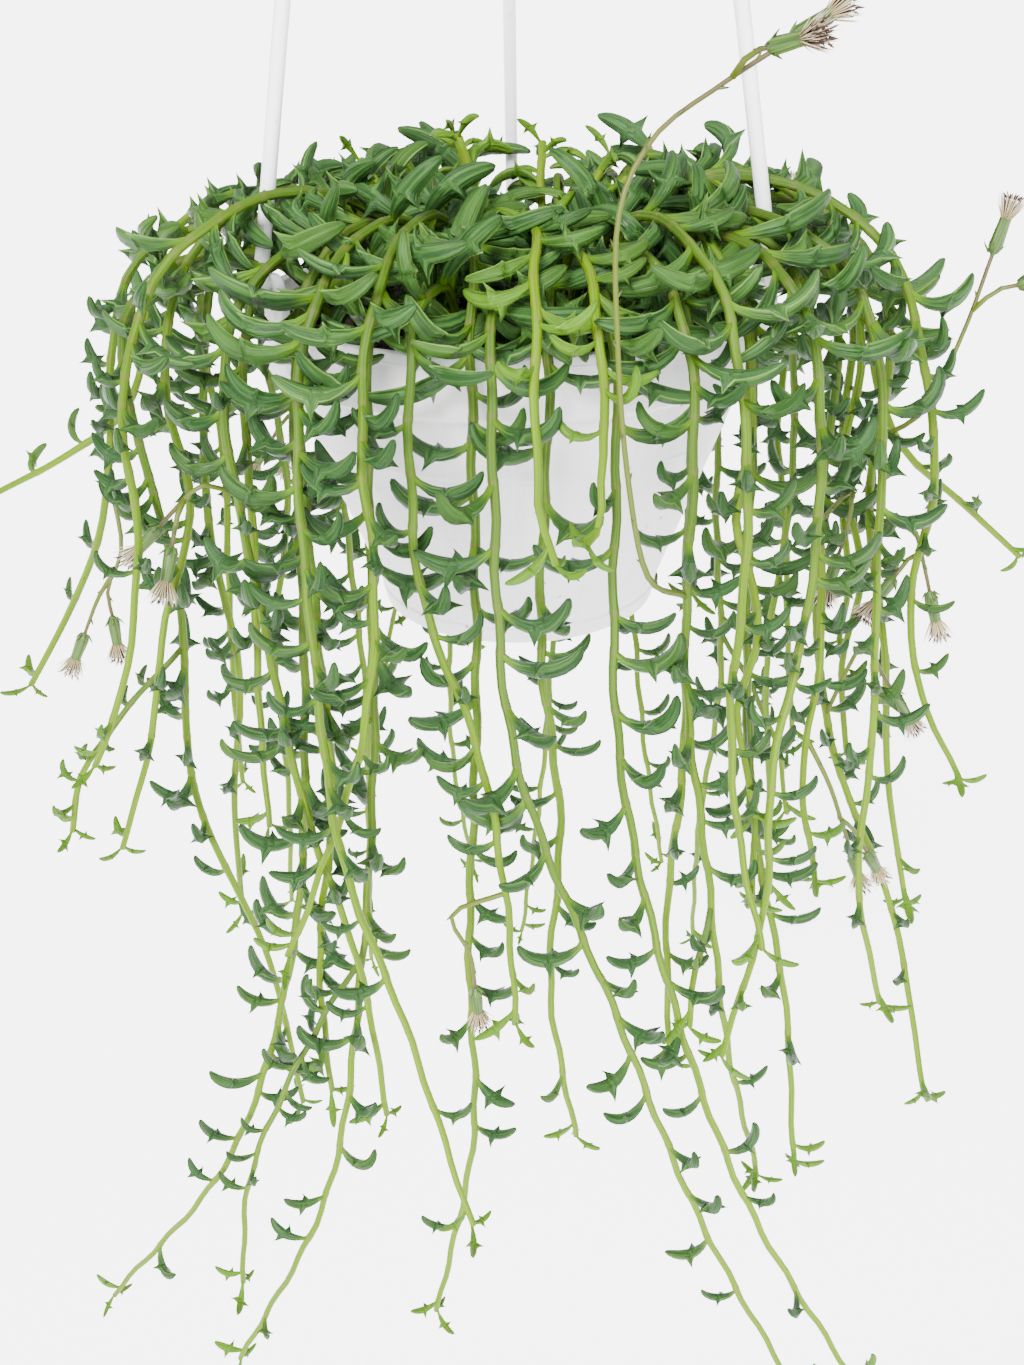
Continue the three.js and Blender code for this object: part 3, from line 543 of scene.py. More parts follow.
def guard_route(route, owner, size):
    """Balls along a stem or stalk, every few millimetres."""
    lengths = np.arange(0, route.total + 1e-9, 3)
    obstacles.add(np.array([route.place(s)[0] for s in lengths]), size, owner)


# Balls that cover a seed head: the share of its length, and the radius
HEAD_BALLS = ((0.1, 2.4), (0.35, 2.4), (0.6, 2.4), (0.85, 3.6))


def guard_head(route, owner):
    """Balls over the seed head at a stalk's end."""
    point, ahead = route.place(route.total)[:2]
    for t, size in HEAD_BALLS:
        obstacles.add((point + ahead * t * HEAD_LENGTH)[None], size, owner)


def arm_top(azimuth):
    """Where a rod's axis ends inside the hub."""
    return polar(azimuth, ARM_SPREAD, HANG_HEIGHT + HUB_TOP - SOCKET_ROOF)


def arm_foot(azimuth):
    """Where a rod's axis turns in towards its lug."""
    return polar(azimuth, ARM_FOOT_RADIUS, LUG_HOLE_HEIGHT)


def guard_hanger():
    """Balls along the lowest quarter of each rod, and over each lug."""
    for azimuth in ARM_AZIMUTHS:
        foot = arm_foot(azimuth)
        highest = foot + (arm_top(azimuth) - foot) * 0.25
        steps = np.linspace(0, 1, 51)[:, None]
        obstacles.add(foot + (highest - foot) * steps, ROD_RADIUS + 0.2, NOBODY)
        for side in (-0.3, 0, 0.3):
            for height in (0.2, 0.7):
                at = polar(azimuth, LUG_RADIUS, height * LUG_HEIGHT, side * LUG_WIDTH)
                obstacles.add(at[None], 0.3 * LUG_WIDTH, NOBODY)


def plain_leaves(route, owner, seed, first=1, every=LEAF_EVERY, reach=1.0, fresh=0.0):
    """The leaves that the solids have as well, by node, with None where none was clear."""
    draw = seeded(seed)
    leaves = {}
    for k in range(first, route.last_node() + 1):
        draws = [next(draw), next(draw), next(draw)]
        if k % every == 1 % every:
            leaves[k] = grow_leaf(route, owner, k, draws, reach, fresh)
    return leaves


def nodes_between(route, leaves, step, between):
    """The places, in nodes, between the solids' leaves, which stand a step apart: close together
    over the pot, so many between two leaves as the stem hangs, and few towards its tip."""
    places = [k for k, leaf in leaves.items() if leaf is None]
    first = min(leaves, default=1)
    for k in [first - step, *(leaves or [first])]:
        middle = (k + step / 2) * NODE_SPACING
        high = route.place(middle)[0][2] > 0
        share = middle / route.total
        if high:
            count = max(2 * step - 1, between)
        elif share < CROWDED_SHARE:
            count = between
        else:
            count = step // 2 if share < BARE_SHARE else 0
        places += [k + step * (i + 1) / (count + 1) for i in range(count)]
    return [k for k in places if FIRST_NODE < k < (route.total - LAST_NODE) / NODE_SPACING]


def further_leaves(route, owner, seed, leaves, step, between, reach=1.0, fresh=0.0):
    """Grows the leaves between, and returns all the leaves of the stem by their places."""
    draw = seeded(seed)
    grown = {k: leaf for k, leaf in leaves.items() if leaf}
    for place in nodes_between(route, leaves, step, between):
        k = place + JITTER * (next(draw) - 0.5)
        draws = [next(draw), next(draw), next(draw)]
        leaf = grow_leaf(route, owner, k, draws, reach, fresh, loose=True)
        if leaf:
            grown[k] = leaf
    return dict(sorted(grown.items()))


# The young leaves at a tip: how far before it each grows, its least length and its swing
TIP_LEAVES = ((0.5, 11, 20), (1.5, 9, 150), (6, 13, 265))


def end_leaves(route, seed):
    """The young leaves that a stem ends in: small, close and pointing on."""
    draw = seeded(seed)
    leaves = []
    for before, length, swing in TIP_LEAVES:
        point, ahead, side, out = route.place(route.total - before)
        away = turned_away(side, out, swing + 50 * next(draw))
        size, curl = length * (0.85 + 0.4 * next(draw)), 45 + 60 * next(draw)
        leaves.append(leaf_at(point, ahead, away, size, curl, 1.0, 0.0))
    return leaves


# Meshes


def placed(name, data):
    """Puts a mesh, a lamp or a camera in the scene as an object."""
    made = bpy.data.objects.new(name, data)
    bpy.context.scene.collection.objects.link(made)
    return made


class Skin:
    """Collects the closed surfaces of one piece. Each is a grid of rows and columns that closes
    round its columns, and along its rows it closes to a point at each end or onto itself."""

    def __init__(self):
        self.points = []
        self.quads = []
        self.triangles = []
        self.count = 0

    def add(self, grid, ends, finish, **marks):
        """grid is surfaces by rows by columns by 3, ends surfaces by 2 by 3 or None."""
        surfaces, rows, columns = grid.shape[:3]
        last = rows if ends is None else rows - 1
        r, c = np.meshgrid(np.arange(last), np.arange(columns), indexing="ij")
        nr, nc = (r + 1) % rows, (c + 1) % columns
        corners = np.stack([r * columns + c, r * columns + nc, nr * columns + nc, nr * columns + c], -1)
        u = np.stack([c, c + 1, c + 1, c], -1) / columns
        v = np.stack([r, r, r + 1, r + 1], -1) / rows
        quads = [corners.reshape(-1, 4), u.reshape(-1, 4), v.reshape(-1, 4)]
        points = grid.reshape(surfaces, rows * columns, 3)
        values = {name: np.broadcast_to(v, (surfaces, rows, columns)) for name, v in marks.items()}
        flat = {name: v.reshape(surfaces, -1) for name, v in values.items()}
        size = rows * columns
        triangles = None
        if ends is not None:
            points = np.concatenate([points, ends], axis=1)
            j = np.arange(columns)
            k = (j + 1) % columns
            low = np.stack([k, j, np.full(columns, size)], 1)
            high = np.stack([size - columns + j, size - columns + k, np.full(columns, size + 1)], 1)
            middle = (j + 0.5) / columns
            across = np.stack([(j + 1) / columns, j / columns, middle], 1)
            up = np.repeat([[0, 0, 0]], columns, 0)
            triangles = [
                np.vstack([low, high]),
                np.vstack([across, across[:, [1, 0, 2]]]),
                np.vstack([up, up + 1]),
            ]
            for name, v in values.items():
                caps = np.stack([v[:, 0].mean(1), v[:, -1].mean(1)], 1)
                flat[name] = np.concatenate([flat[name], caps], 1)
            size += 2
        if self.inside_out(points[0], quads[0], triangles):
            quads = [part[:, ::-1] for part in quads]
            if triangles:
                triangles = [part[:, ::-1] for part in triangles]
        offsets = self.count + size * np.arange(surfaces)
        self.points.append((points.reshape(-1, 3), {n: v.reshape(-1) for n, v in flat.items()}))
        for store, parts in ((self.quads, quads), (self.triangles, triangles)):
            if parts:
                index = (parts[0][None] + offsets[:, None, None]).reshape(-1, parts[0].shape[1])
                uv = np.stack([parts[1], parts[2]], -1)
                uv = np.broadcast_to(uv[None], (surfaces, *uv.shape)).reshape(-1, *uv.shape[1:])
                store.append((index, uv, np.full(len(index), finish)))
        self.count += size * surfaces

    @staticmethod
    def inside_out(points, quads, triangles):
        """Whether the faces' volume about the origin is negative."""
        faces = [quads[:, [0, 1, 2]], quads[:, [0, 2, 3]]]
        if triangles:
            faces.append(triangles[0])
        a, b, c = (points[np.vstack(faces)[:, i]] for i in range(3))
        return np.einsum("ij,ij->", a, np.cross(b, c)) < 0

    def piece(self, name, finishes):
        points = np.vstack([p for p, marks in self.points])
        mesh = bpy.data.meshes.new(name)
        mesh.vertices.add(len(points))
        place = points * MM + (0, 0, rim_z)
        mesh.vertices.foreach_set("co", place.astype(np.float32).ravel())
        groups = [*self.quads, *self.triangles]
        loops = np.concatenate([index.ravel() for index, uv, finish in groups])
        sides = np.concatenate([np.full(len(index), index.shape[1]) for index, uv, finish in groups])
        mesh.loops.add(len(loops))
        mesh.loops.foreach_set("vertex_index", loops.astype(np.int32))
        mesh.polygons.add(len(sides))
        starts = np.concatenate([[0], np.cumsum(sides)[:-1]])
        mesh.polygons.foreach_set("loop_start", starts.astype(np.int32))
        finish = np.concatenate([finish for index, uv, finish in groups])
        mesh.polygons.foreach_set("material_index", finish.astype(np.int32))
        layer = mesh.uv_layers.new(name="UVMap")
        uv = np.concatenate([uv.reshape(-1, 2) for index, uv, finish in groups])
        layer.uv.foreach_set("vector", uv.astype(np.float32).ravel())
        names = sorted({n for p, marks in self.points for n in marks})
        for mark in names:
            values = [marks.get(mark, np.zeros(len(p))) for p, marks in self.points]
            attribute = mesh.attributes.new(mark, "FLOAT", "POINT")
            attribute.data.foreach_set("value", np.concatenate(values).astype(np.float32))
        mesh.update(calc_edges=True)
        mesh.validate()
        mesh.shade_smooth()
        for material in finishes:
            mesh.materials.append(material)
        return placed(name, mesh)


def circle(count):
    """The cosines and sines of evenly spaced angles."""
    angles = np.arange(count) * TURN / count
    return np.cos(angles), np.sin(angles)


def rings(centres, side, out, radii, sides):
    """A ring of points round each centre, in the plane of its side and out directions."""
    cos, sin = circle(sides)
    ring = side[:, None] * cos[None, :, None] + out[:, None] * sin[None, :, None]
    return centres[:, None] + ring * radii[:, None, None]


def level_rings(radius, z, sides):
    """A level ring of points about the vertical axis for each radius and height."""
    cos, sin = circle(sides)
    return np.stack([radius[:, None] * cos, radius[:, None] * sin, np.repeat(z[:, None], sides, 1)], -1)


def tube(skin, route, lengths, radii, sides, finish, sway=0.0, **marks):
    """A round tube: ring i is centred on the route at lengths[i] with radius radii[i], and it
    sways to alternate sides between the nodes."""
    points, ahead, side, out = route.frames(lengths)
    points = points + side * (sway * np.sin(lengths * math.pi / NODE_SPACING))[:, None]
    grid = rings(points, side, out, radii, sides)
    ends = np.stack([points[0] - ahead[0] * radii[0] * 0.4, points[-1] + ahead[-1] * radii[-1] * 0.6])
    given = {name: np.asarray(value)[None, :, None] for name, value in marks.items()}
    skin.add(grid[None], ends[None], finish, **given)


def turned(skin, profile, sides, finish, centre=(0, 0, 0), **marks):
    """A profile of radius and height turned about the vertical axis through a centre. It starts
    and ends on the axis, and those two points close it."""
    outline = np.array(profile, float)
    grid = level_rings(*outline[1:-1].T, sides)
    ends = np.array([[0, 0, outline[0, 1]], [0, 0, outline[-1, 1]]])
    skin.add(grid[None] + centre, ends[None] + centre, finish, **marks)


def rounded(corners, steps=5):
    """A profile whose corners are rounded. Each corner is a point with the distance before and
    after it where a parabola takes over from the straight sides."""
    outline = []
    t = np.linspace(0, 1, steps + 1)[:, None]
    for i, (x, y, size) in enumerate(corners):
        here = np.array([x, y], float)
        if size == 0:
            outline.append(here[None])
            continue
        before, after = (np.array(corners[i + j][:2], float) for j in (-1, 1))
        start = here + unit(before - here) * size
        end = here + unit(after - here) * size
        outline.append(start * (1 - t) ** 2 + 2 * here * t * (1 - t) + end * t**2)
    return np.vstack(outline)


# A leaf's rows by share of its length, with their widths, and its section's corners by share
# of its half width across and of its thickness inward: edges, flanks, keel and face
LEAF_ROWS = np.array([
    0.02, 0.14, 0.28, 0.39, 0.435, 0.46, 0.485, 0.53, 0.555, 0.58, 0.625, 0.71, 0.81, 0.9, 0.97,
])
LEAF_SWELL = np.interp(
    LEAF_ROWS,
    (0, 0.14, 0.3, 0.45, 0.6, 0.75, 0.86, 0.93, 0.97, 1),
    (0.42, 0.46, 0.76, 0.96, 1.02, 0.92, 0.74, 0.54, 0.36, 0.2),
)
SECTION_ACROSS = np.array([1, 0.7, 0, -0.7, -1, -0.5, 0.5])
SECTION_INWARD = np.array([0.25, -0.5, -1, -0.5, 0.25, 0.44, 0.44])
EDGE_COLUMNS = (0, 4)
FIN_ROWS = (5, 8)
FIN_NECK = 0.5
SPINE_STEPS = 60
LEAF_FINISH, STEM_FINISH, STALK_FINISH, CUP_FINISH, TUFT_FINISH, FLORET_FINISH = range(6)


def fin_shares():
    """How far each point of the leaf's grid moves out with the fins, one on each edge: the tip
    all the way and the ring of four points round it, its neck, part of the way."""
    shares = np.zeros((len(LEAF_ROWS), len(SECTION_ACROSS)))
    columns = len(SECTION_ACROSS)
    for row, column, way in zip(FIN_ROWS, EDGE_COLUMNS, (1, -1)):
        shares[row, column] = way
        for r, c in ((row - 1, column), (row + 1, column), (row, column - 1), (row, column + 1)):
            shares[r, c % columns] = FIN_NECK * way
    return shares


def leaves_skin(skin, leaves, rng):
    """Thick crescent leaves. The spine turns by the leaf's curl along its length, faster or
    slower at its middle, and the section rolls about it. Each point lies at its section's
    share of the width across and of the thickness inward, and the fins move out from it."""
    if not leaves:
        return
    base, ahead, away, across, length, curl, youth, mound = (
        np.array([leaf[name] for leaf in leaves])
        for name in ("base", "ahead", "away", "across", "length", "curl", "youth", "mound")
    )
    count = len(leaves)
    bend, roll, shift, hook, plump = (rng.uniform(-1, 1, count) for i in range(5))
    tint = rng.uniform(0, 1, count)
    fine = np.linspace(0, 1, SPINE_STEPS + 1)
    turn = fine + 0.35 * bend[:, None] * np.sin(TURN * fine) / TURN
    angle = LEAF_LIFT + curl[:, None] * turn

    def summed(values):
        halves = (values[:, 1:] + values[:, :-1]) / 2 / SPINE_STEPS
        return np.concatenate([np.zeros((count, 1)), np.cumsum(halves, 1)], 1) * length[:, None]

    run, rise = summed(np.cos(angle)), summed(np.sin(angle))
    u = LEAF_ROWS + 0.03 * shift[:, None] * np.sin(math.pi * LEAF_ROWS)
    low = np.minimum((u * SPINE_STEPS).astype(int), SPINE_STEPS - 1)
    part = u * SPINE_STEPS - low
    rows = np.arange(count)[:, None]

    def at_rows(values):
        return values[rows, low] * (1 - part) + values[rows, low + 1] * part

    along, outside, tilt = at_rows(run), at_rows(rise), at_rows(angle)

    def combine(first, second):
        return first[..., None] * ahead[:, None] + second[..., None] * away[:, None]

    spine = base[:, None] + combine(along, outside)
    forward = combine(np.cos(tilt), np.sin(tilt))
    inward = combine(-np.sin(tilt), np.cos(tilt))
    wide = np.broadcast_to(across[:, None], inward.shape)
    rolled = 0.75 * roll[:, None] * np.clip(u / 0.4, 0, 1)
    cos, sin = np.cos(rolled)[..., None], np.sin(rolled)[..., None]
    wide, inward = wide * cos + inward * sin, inward * cos - wide * sin
    swell = LEAF_SWELL * (1 + 0.08 * plump[:, None])
    half = LEAF_WIDTH * length[:, None] * swell * (1 + 0.12 * mound[:, None])
    thick = LEAF_THICKNESS * length[:, None] * swell * (1 - 0.15 * mound[:, None])
    fins = fin_shares()
    out = np.abs(fins)
    fin = 1.15 * FIN_LENGTH * length[:, None, None] * (1 + 0.2 * plump[:, None, None])
    sideways_part = half[..., None] * SECTION_ACROSS + fin * fins
    slim = np.where(out == FIN_NECK, 0.5, 1)
    inward_part = thick[..., None] * (0.25 + (SECTION_INWARD - 0.25) * slim) - fin * out * 0.55
    forward_part = fin * out**2 * (0.1 + 0.3 * hook[:, None, None])
    grid = spine[:, :, None] + sideways_part[..., None] * wide[:, :, None]
    grid = grid + inward_part[..., None] * inward[:, :, None]
    grid = grid + forward_part[..., None] * forward[:, :, None]
    tip = base + combine(run[:, -1:], rise[:, -1:])[:, 0] + inward[:, -1] * thick[:, -1:] * -0.3
    marks = {
        "along": np.broadcast_to(u[..., None], sideways_part.shape),
        "edge": np.abs(SECTION_ACROSS)[None, None] ** 2,
        "face": SECTION_INWARD[None, None],
        "youth": youth[:, None, None],
        "tint": tint[:, None, None],
        "high": mound[:, None, None],
    }
    skin.add(grid, np.stack([base, tip], 1), LEAF_FINISH, **marks)


def stem_rows(total, nodes, spacing=7.0):
    """Lengths along a stem: evenly spaced, and closer together at each node."""
    even = np.arange(0, total, spacing)
    if len(nodes):
        even = even[np.abs(even[:, None] - nodes[None]).min(1) > 2.6]
    close = (nodes[:, None] + np.array([-1.8, 0, 1.8])[None]).ravel()
    rows = np.sort(np.concatenate([even, close[(close > 1) & (close < total - 1)]]))
    return np.concatenate([[0.0], rows[(rows > 1) & (rows < total - 1)], [total]])


STEM_SWAY = 0.5


def stem_skin(skin, route, leaves, thick, thin, tint, fresh, sides=8):
    """A stem that tapers, swells a little at each node and sways between them."""
    nodes = np.array([k * NODE_SPACING for k in leaves])
    s = stem_rows(route.total, nodes)
    off = np.abs(s[:, None] - nodes[None]).min(1) if len(nodes) else np.full(len(s), NODE_SPACING)
    node = np.exp(-((off / 1.5) ** 2))
    foot, tip = 0.93 * thick, 1.45 * thin
    radii = (foot + (tip - foot) * (s / route.total) ** 3) * (1 + 0.14 * node)
    youth = np.maximum(s / route.total, fresh * np.minimum(1, FRESH_RISE * s / route.total))
    tints = np.full(len(s), tint)
    tube(skin, route, s, radii, sides, STEM_FINISH, STEM_SWAY, along=s, node=node, youth=youth, tint=tints)


BRACT_START = 8
BRACT_SPACING = 11


def stalk_skin(skin, route, rng):
    """A thin flower stalk with a small bract every so often."""
    s = stem_rows(route.total, np.zeros(0), 5.0)
    radii = STALK_RADIUS * (0.95 - 0.25 * s / route.total)
    youth = s / route.total
    tube(skin, route, s, radii, 6, STALK_FINISH, along=s, youth=youth, tint=np.full(len(s), rng.uniform()))
    places = np.arange(BRACT_START, route.total - 2, BRACT_SPACING)
    if len(places) == 0:
        return
    points, ahead, side, out = route.frames(places)
    angle = rng.uniform(0, TURN, len(places))[:, None]
    leaning = unit(ahead + 0.7 * (side * np.cos(angle) + out * np.sin(angle)))
    spikes(skin, points, leaning, rng.uniform(2.2, 3.4, len(places)), 0.5, CUP_FINISH)


def spikes(skin, feet, ways, lengths, radius, finish, droop=0.0, sides=3):
    """Thin pointed spikes: each tapers along its way from its foot, and bends down by droop."""
    count = len(feet)
    helper = np.where(np.abs(ways[:, 2:]) < 0.9, [[0, 0, 1.0]], [[1.0, 0, 0]])
    side = unit(np.cross(ways, helper))
    out = np.cross(ways, side)
    rows = np.array([0.0, 0.45, 0.8])
    widths = np.array([1.0, 0.85, 0.45]) * radius
    cos, sin = circle(sides)
    reach = np.asarray(lengths)[:, None] * rows
    centre = feet[:, None] + ways[:, None] * reach[..., None]
    centre[..., 2] -= droop * np.asarray(lengths)[:, None] * rows**2
    ring = side[:, None] * cos[None, :, None] + out[:, None] * sin[None, :, None]
    grid = centre[:, :, None] + ring[:, None] * widths[None, :, None, None]
    tip = feet + ways * np.asarray(lengths)[:, None]
    tip[:, 2] -= droop * np.asarray(lengths)
    marks = {"along": rows[None, :, None], "youth": np.zeros((count, 1, 1))}
    skin.add(grid, np.stack([feet - ways * 0.2, tip], 1), finish, **marks)


def head_skin(skin, route, rng):
    """A seed head: a ribbed green cup of bracts, a flared tuft of bristles and dry florets."""
    point, ahead, side, out = (v[0] for v in route.frames(np.array([route.total])))
    shares = np.array([0.0, 0.05, 0.12, 0.3, 0.5, 0.64, 0.7, 0.68])
    radii = np.array([0.8, 1.5, 1.85, 1.75, 1.55, 1.5, 1.7, 1.0])
    sides = 16
    cos, sin = circle(sides)
    ribs = 1 + 0.09 * np.cos(np.arange(sides) * math.pi)
    ring = (side[None] * cos[:, None] + out[None] * sin[:, None]) * ribs[:, None]
    centre = point + ahead * (shares * HEAD_LENGTH)[:, None]
    grid = centre[:, None] + ring[None] * radii[:, None, None]
    ends = np.stack([point - ahead, point + ahead * 0.6 * HEAD_LENGTH])
    skin.add(grid[None], ends[None], CUP_FINISH, along=shares[None, :, None], youth=np.zeros((1, 1, 1)))

    def fan(count, start, foot_radius, spread, length, radius, finish, droop=0.0):
        angle = np.arange(count) * 2.4 + rng.uniform(0, 1)
        share = np.sqrt((np.arange(count) + 0.5) / count)
        away = side[None] * np.cos(angle)[:, None] + out[None] * np.sin(angle)[:, None]
        feet = point + ahead * start * HEAD_LENGTH + away * (foot_radius * share)[:, None]
        ways = unit(ahead[None] + away * (spread * share * rng.uniform(0.75, 1.25, count))[:, None])
        spikes(skin, feet, ways, length * rng.uniform(0.8, 1.15, count), radius, finish, droop)

    fan(9, 0.02, 1.3, 0.9, 3.2, 0.45, CUP_FINISH)
    fan(60, 0.58, 1.5, 0.62, 7.0, 0.17, TUFT_FINISH)
    fan(24, 0.66, 1.5, 0.5, 4.6, 0.4, FLORET_FINISH)
    fan(12, 0.9, 2.6, 1.2, 2.0, 0.36, FLORET_FINISH)


# Materials


class Nodes:
    """A node tree, with short calls for the nodes that the finishes are made of."""

    def __init__(self, tree):
        self.tree = tree

    def put(self, socket, value):
        """Sets a socket to a number or a colour, or links another node's output to it."""
        if isinstance(value, bpy.types.NodeSocket):
            self.tree.links.new(value, socket)
        else:
            socket.default_value = (*value, 1) if socket.type == "RGBA" else value

    def node(self, kind, inputs=(), **settings):
        """Adds a node. inputs maps a socket's name or number to what it is set to."""
        made = self.tree.nodes.new("ShaderNode" + kind)
        for name, value in settings.items():
            setattr(made, name, value)
        for key, value in dict(inputs).items():
            self.put(made.inputs[key], value)
        return made

    def mixed(self, share, first, second):
        """A colour between two, by a share. The node's colour sockets are 6 and 7, and output 2."""
        return self.node("Mix", {0: share, 6: first, 7: second}, data_type="RGBA").outputs[2]

    def over(self, colour, *layers):
        """Lays further colours over a colour, each by its own share."""
        for share, tone in layers:
            colour = self.mixed(share, colour, tone)
        return colour

    def ramp(self, value, low, high, first=0.0, last=1.0):
        """Maps a value from low..high to first..last, smoothly and held at the ends."""
        limits = {"Value": value, "From Min": low, "From Max": high, "To Min": first, "To Max": last}
        return self.node("MapRange", limits, interpolation_type="SMOOTHSTEP").outputs["Result"]

    def math(self, operation, first, second=0.0):
        return self.node("Math", {0: first, 1: second}, operation=operation).outputs[0]

    def times(self, first, second):
        return self.math("MULTIPLY", first, second)

    def mark(self, name):
        return self.node("Attribute", attribute_name=name).outputs["Fac"]

    def use(self, inner, **values):
        """Places a node group, and returns its outputs."""
        return self.node("Group", values, node_tree=inner).outputs


class Finish(Nodes):
    """A material with its Principled shader, whose plain values are set on its own sockets."""

    def __init__(self, name, **sockets):
        self.material = bpy.data.materials.new(name)
        self.material.use_nodes = True
        super().__init__(self.material.node_tree)
        self.shader = self.tree.nodes["Principled BSDF"].inputs
        for label, value in sockets.items():
            self.shader[label.replace("_", " ")].default_value = value

    def surface(self, colour, value, smooth, rough, low=0, high=1):
        """Sets the colour, and a roughness from smooth to rough as a value rises."""
        self.put(self.shader["Base Color"], colour)
        self.put(self.shader["Roughness"], self.ramp(value, low, high, smooth, rough))

    def bump(self, height, distance, strength):
        made = self.node("Bump", {"Height": height, "Distance": distance, "Strength": strength})
        self.put(self.shader["Normal"], made.outputs["Normal"])


def group(name, inputs, outputs):
    """Makes a shader node group with named numbers in and out. Returns its nodes, the sockets
    that bring in what it is given and those that take what it puts out."""
    tree = bpy.data.node_groups.new(name, "ShaderNodeTree")
    for label, value in inputs.items():
        socket = tree.interface.new_socket(label, in_out="INPUT", socket_type="NodeSocketFloat")
        socket.default_value = value
    for label in outputs:
        tree.interface.new_socket(label, in_out="OUTPUT", socket_type="NodeSocketFloat")
    given, out = tree.nodes.new("NodeGroupInput"), tree.nodes.new("NodeGroupOutput")
    return Nodes(tree), given.outputs, out.inputs


def length_stripes_group():
    """Fine stripes along a leaf or stem: noise that is fine round the piece and long along it."""
    inputs = {"Around": 9.0, "Along": 2.0, "Offset": 0.0}
    nodes, given, out = group("length_stripes", inputs, ["Stripes"])
    layer = nodes.node("UVMap", uv_map="UVMap").outputs[0]
    across, up = nodes.node("SeparateXYZ", {0: layer}).outputs[:2]
    angle = nodes.times(across, TURN)
    x = nodes.times(nodes.math("COSINE", angle), given["Around"])
    y = nodes.times(nodes.math("SINE", angle), given["Around"])
    z = nodes.times(up, given["Along"])
    place = nodes.node("CombineXYZ", {0: x, 1: y, 2: z}).outputs[0]
    settings = {"Vector": place, "W": given["Offset"], "Scale": 1.0, "Detail": 3.0, "Roughness": 0.55}
    noise = nodes.node("TexNoise", settings, noise_dimensions="4D").outputs["Fac"]
    nodes.put(out["Stripes"], nodes.ramp(noise, 0.36, 0.64))
    return nodes.tree


def speckle_group():
    """Scattered small specks and slow clouds on the object's own coordinates."""
    inputs = {"Size": 1.5, "Amount": 0.5, "Cloud": 20.0}
    nodes, given, out = group("speckle", inputs, ["Specks", "Clouds"])
    place = nodes.node("TexCoord").outputs["Object"]
    scaled = nodes.node("VectorMath", {0: place, "Scale": 1 / MM}, operation="SCALE").outputs[0]
    fine = nodes.math("DIVIDE", 1.0, given["Size"])
    cells = nodes.node("TexVoronoi", {"Vector": scaled, "Scale": fine}).outputs
    chosen = nodes.node("SeparateColor", {0: cells["Color"]}).outputs[0]
    rare = nodes.math("LESS_THAN", chosen, given["Amount"])
    near = nodes.ramp(cells["Distance"], 0.32, 0.12)
    nodes.put(out["Specks"], nodes.times(rare, near))
    slow = nodes.math("DIVIDE", 1.0, given["Cloud"])
    clouds = nodes.node("TexNoise", {"Vector": scaled, "Scale": slow, "Detail": 4.0})
    nodes.put(out["Clouds"], clouds.outputs["Fac"])
    return nodes.tree


length_stripes = length_stripes_group()
speckle = speckle_group()


def leaf_material():
    """Waxy leaf: blue-green with darker and lighter stripes along it, pale thin edges, a
    yellow-green foot, and fresh yellow-green where it is young. Hanging leaves get painted shade: a darker
    green stands in for the shade they cast on each other."""
    leaf = Finish(
        "dolphin_leaf",
        Subsurface_Weight=0.1,
        Subsurface_Scale=0.002,
        Subsurface_Radius=(0.4, 1.0, 0.15),
        Specular_IOR_Level=0.14,
    )
    marks = ("along", "edge", "face", "youth", "tint", "high")
    along, edge, face, youth, tint, high = (leaf.mark(name) for name in marks)
    stripes = leaf.use(length_stripes, Around=2.6, Along=1.6, Offset=leaf.times(tint, 37.0))[0]
    rims = leaf.times(leaf.ramp(edge, 0.84, 1.0), leaf.ramp(high, 0, 1, 0.18, 0.5))
    colour = leaf.over(
        leaf.mixed(stripes, (0.011, 0.037, 0.0075), (0.041, 0.107, 0.022)),
        (leaf.ramp(face, 0.1, 0.45, 0, 0.3), (0.075, 0.165, 0.06)),
        (leaf.ramp(tint, 0.55, 1.0, 0, 0.35), (0.07, 0.155, 0.012)),
        # Painted shade: leaves off the mound are mixed towards a dark green, for the shade among the
        # hanging leaves
        (leaf.ramp(high, 1, 0, 0, 0.45), (0.004, 0.025, 0.004)),
        (leaf.ramp(youth, 0.55, 1.0, 0, 0.75), (0.09, 0.2, 0.004)),
        (rims, (0.2, 0.36, 0.07)),
        (leaf.ramp(along, 0.3, 0.04, 0, 0.85), (0.095, 0.2, 0.003)),
    )
    leaf.surface(colour, stripes, 0.34, 0.5)
    leaf.bump(stripes, 0.0005, 0.7)
    return leaf.material


def stem_material():
    """Stem: green near the pot and yellow-green towards its tip, with fine lines along it,
    brown lines where it is old, and a brownish mark at each node."""
    stem = Finish(
        "dolphin_stem", Subsurface_Weight=0.1, Subsurface_Scale=0.002, Specular_IOR_Level=0.14
    )
    node, youth, tint = (stem.mark(name) for name in ("node", "youth", "tint"))
    stripes = stem.use(length_stripes, Around=1.9, Along=4.0, Offset=stem.times(tint, 53.0))[0]
    lines = stem.use(length_stripes, Around=3.3, Along=5.0, Offset=tint)[0]
    worn = stem.times(stem.ramp(youth, 0.4, 0.05), stem.ramp(lines, 0.8, 1.0, 0, 0.4))
    young = stem.mixed(stripes, (0.072, 0.14, 0.0002), (0.115, 0.2, 0.0005))
    colour = stem.over(
        stem.mixed(stripes, (0.03, 0.072, 0.004), (0.062, 0.122, 0.01)),
        (stem.ramp(youth, 0.2, 0.8), young),
        (worn, (0.12, 0.07, 0.035)),
        (stem.ramp(node, 0.35, 1.0, 0, 0.25), (0.13, 0.09, 0.035)),
    )
    stem.surface(colour, stripes, 0.4, 0.52)
    stem.bump(stripes, 0.0003, 0.5)
    return stem.material


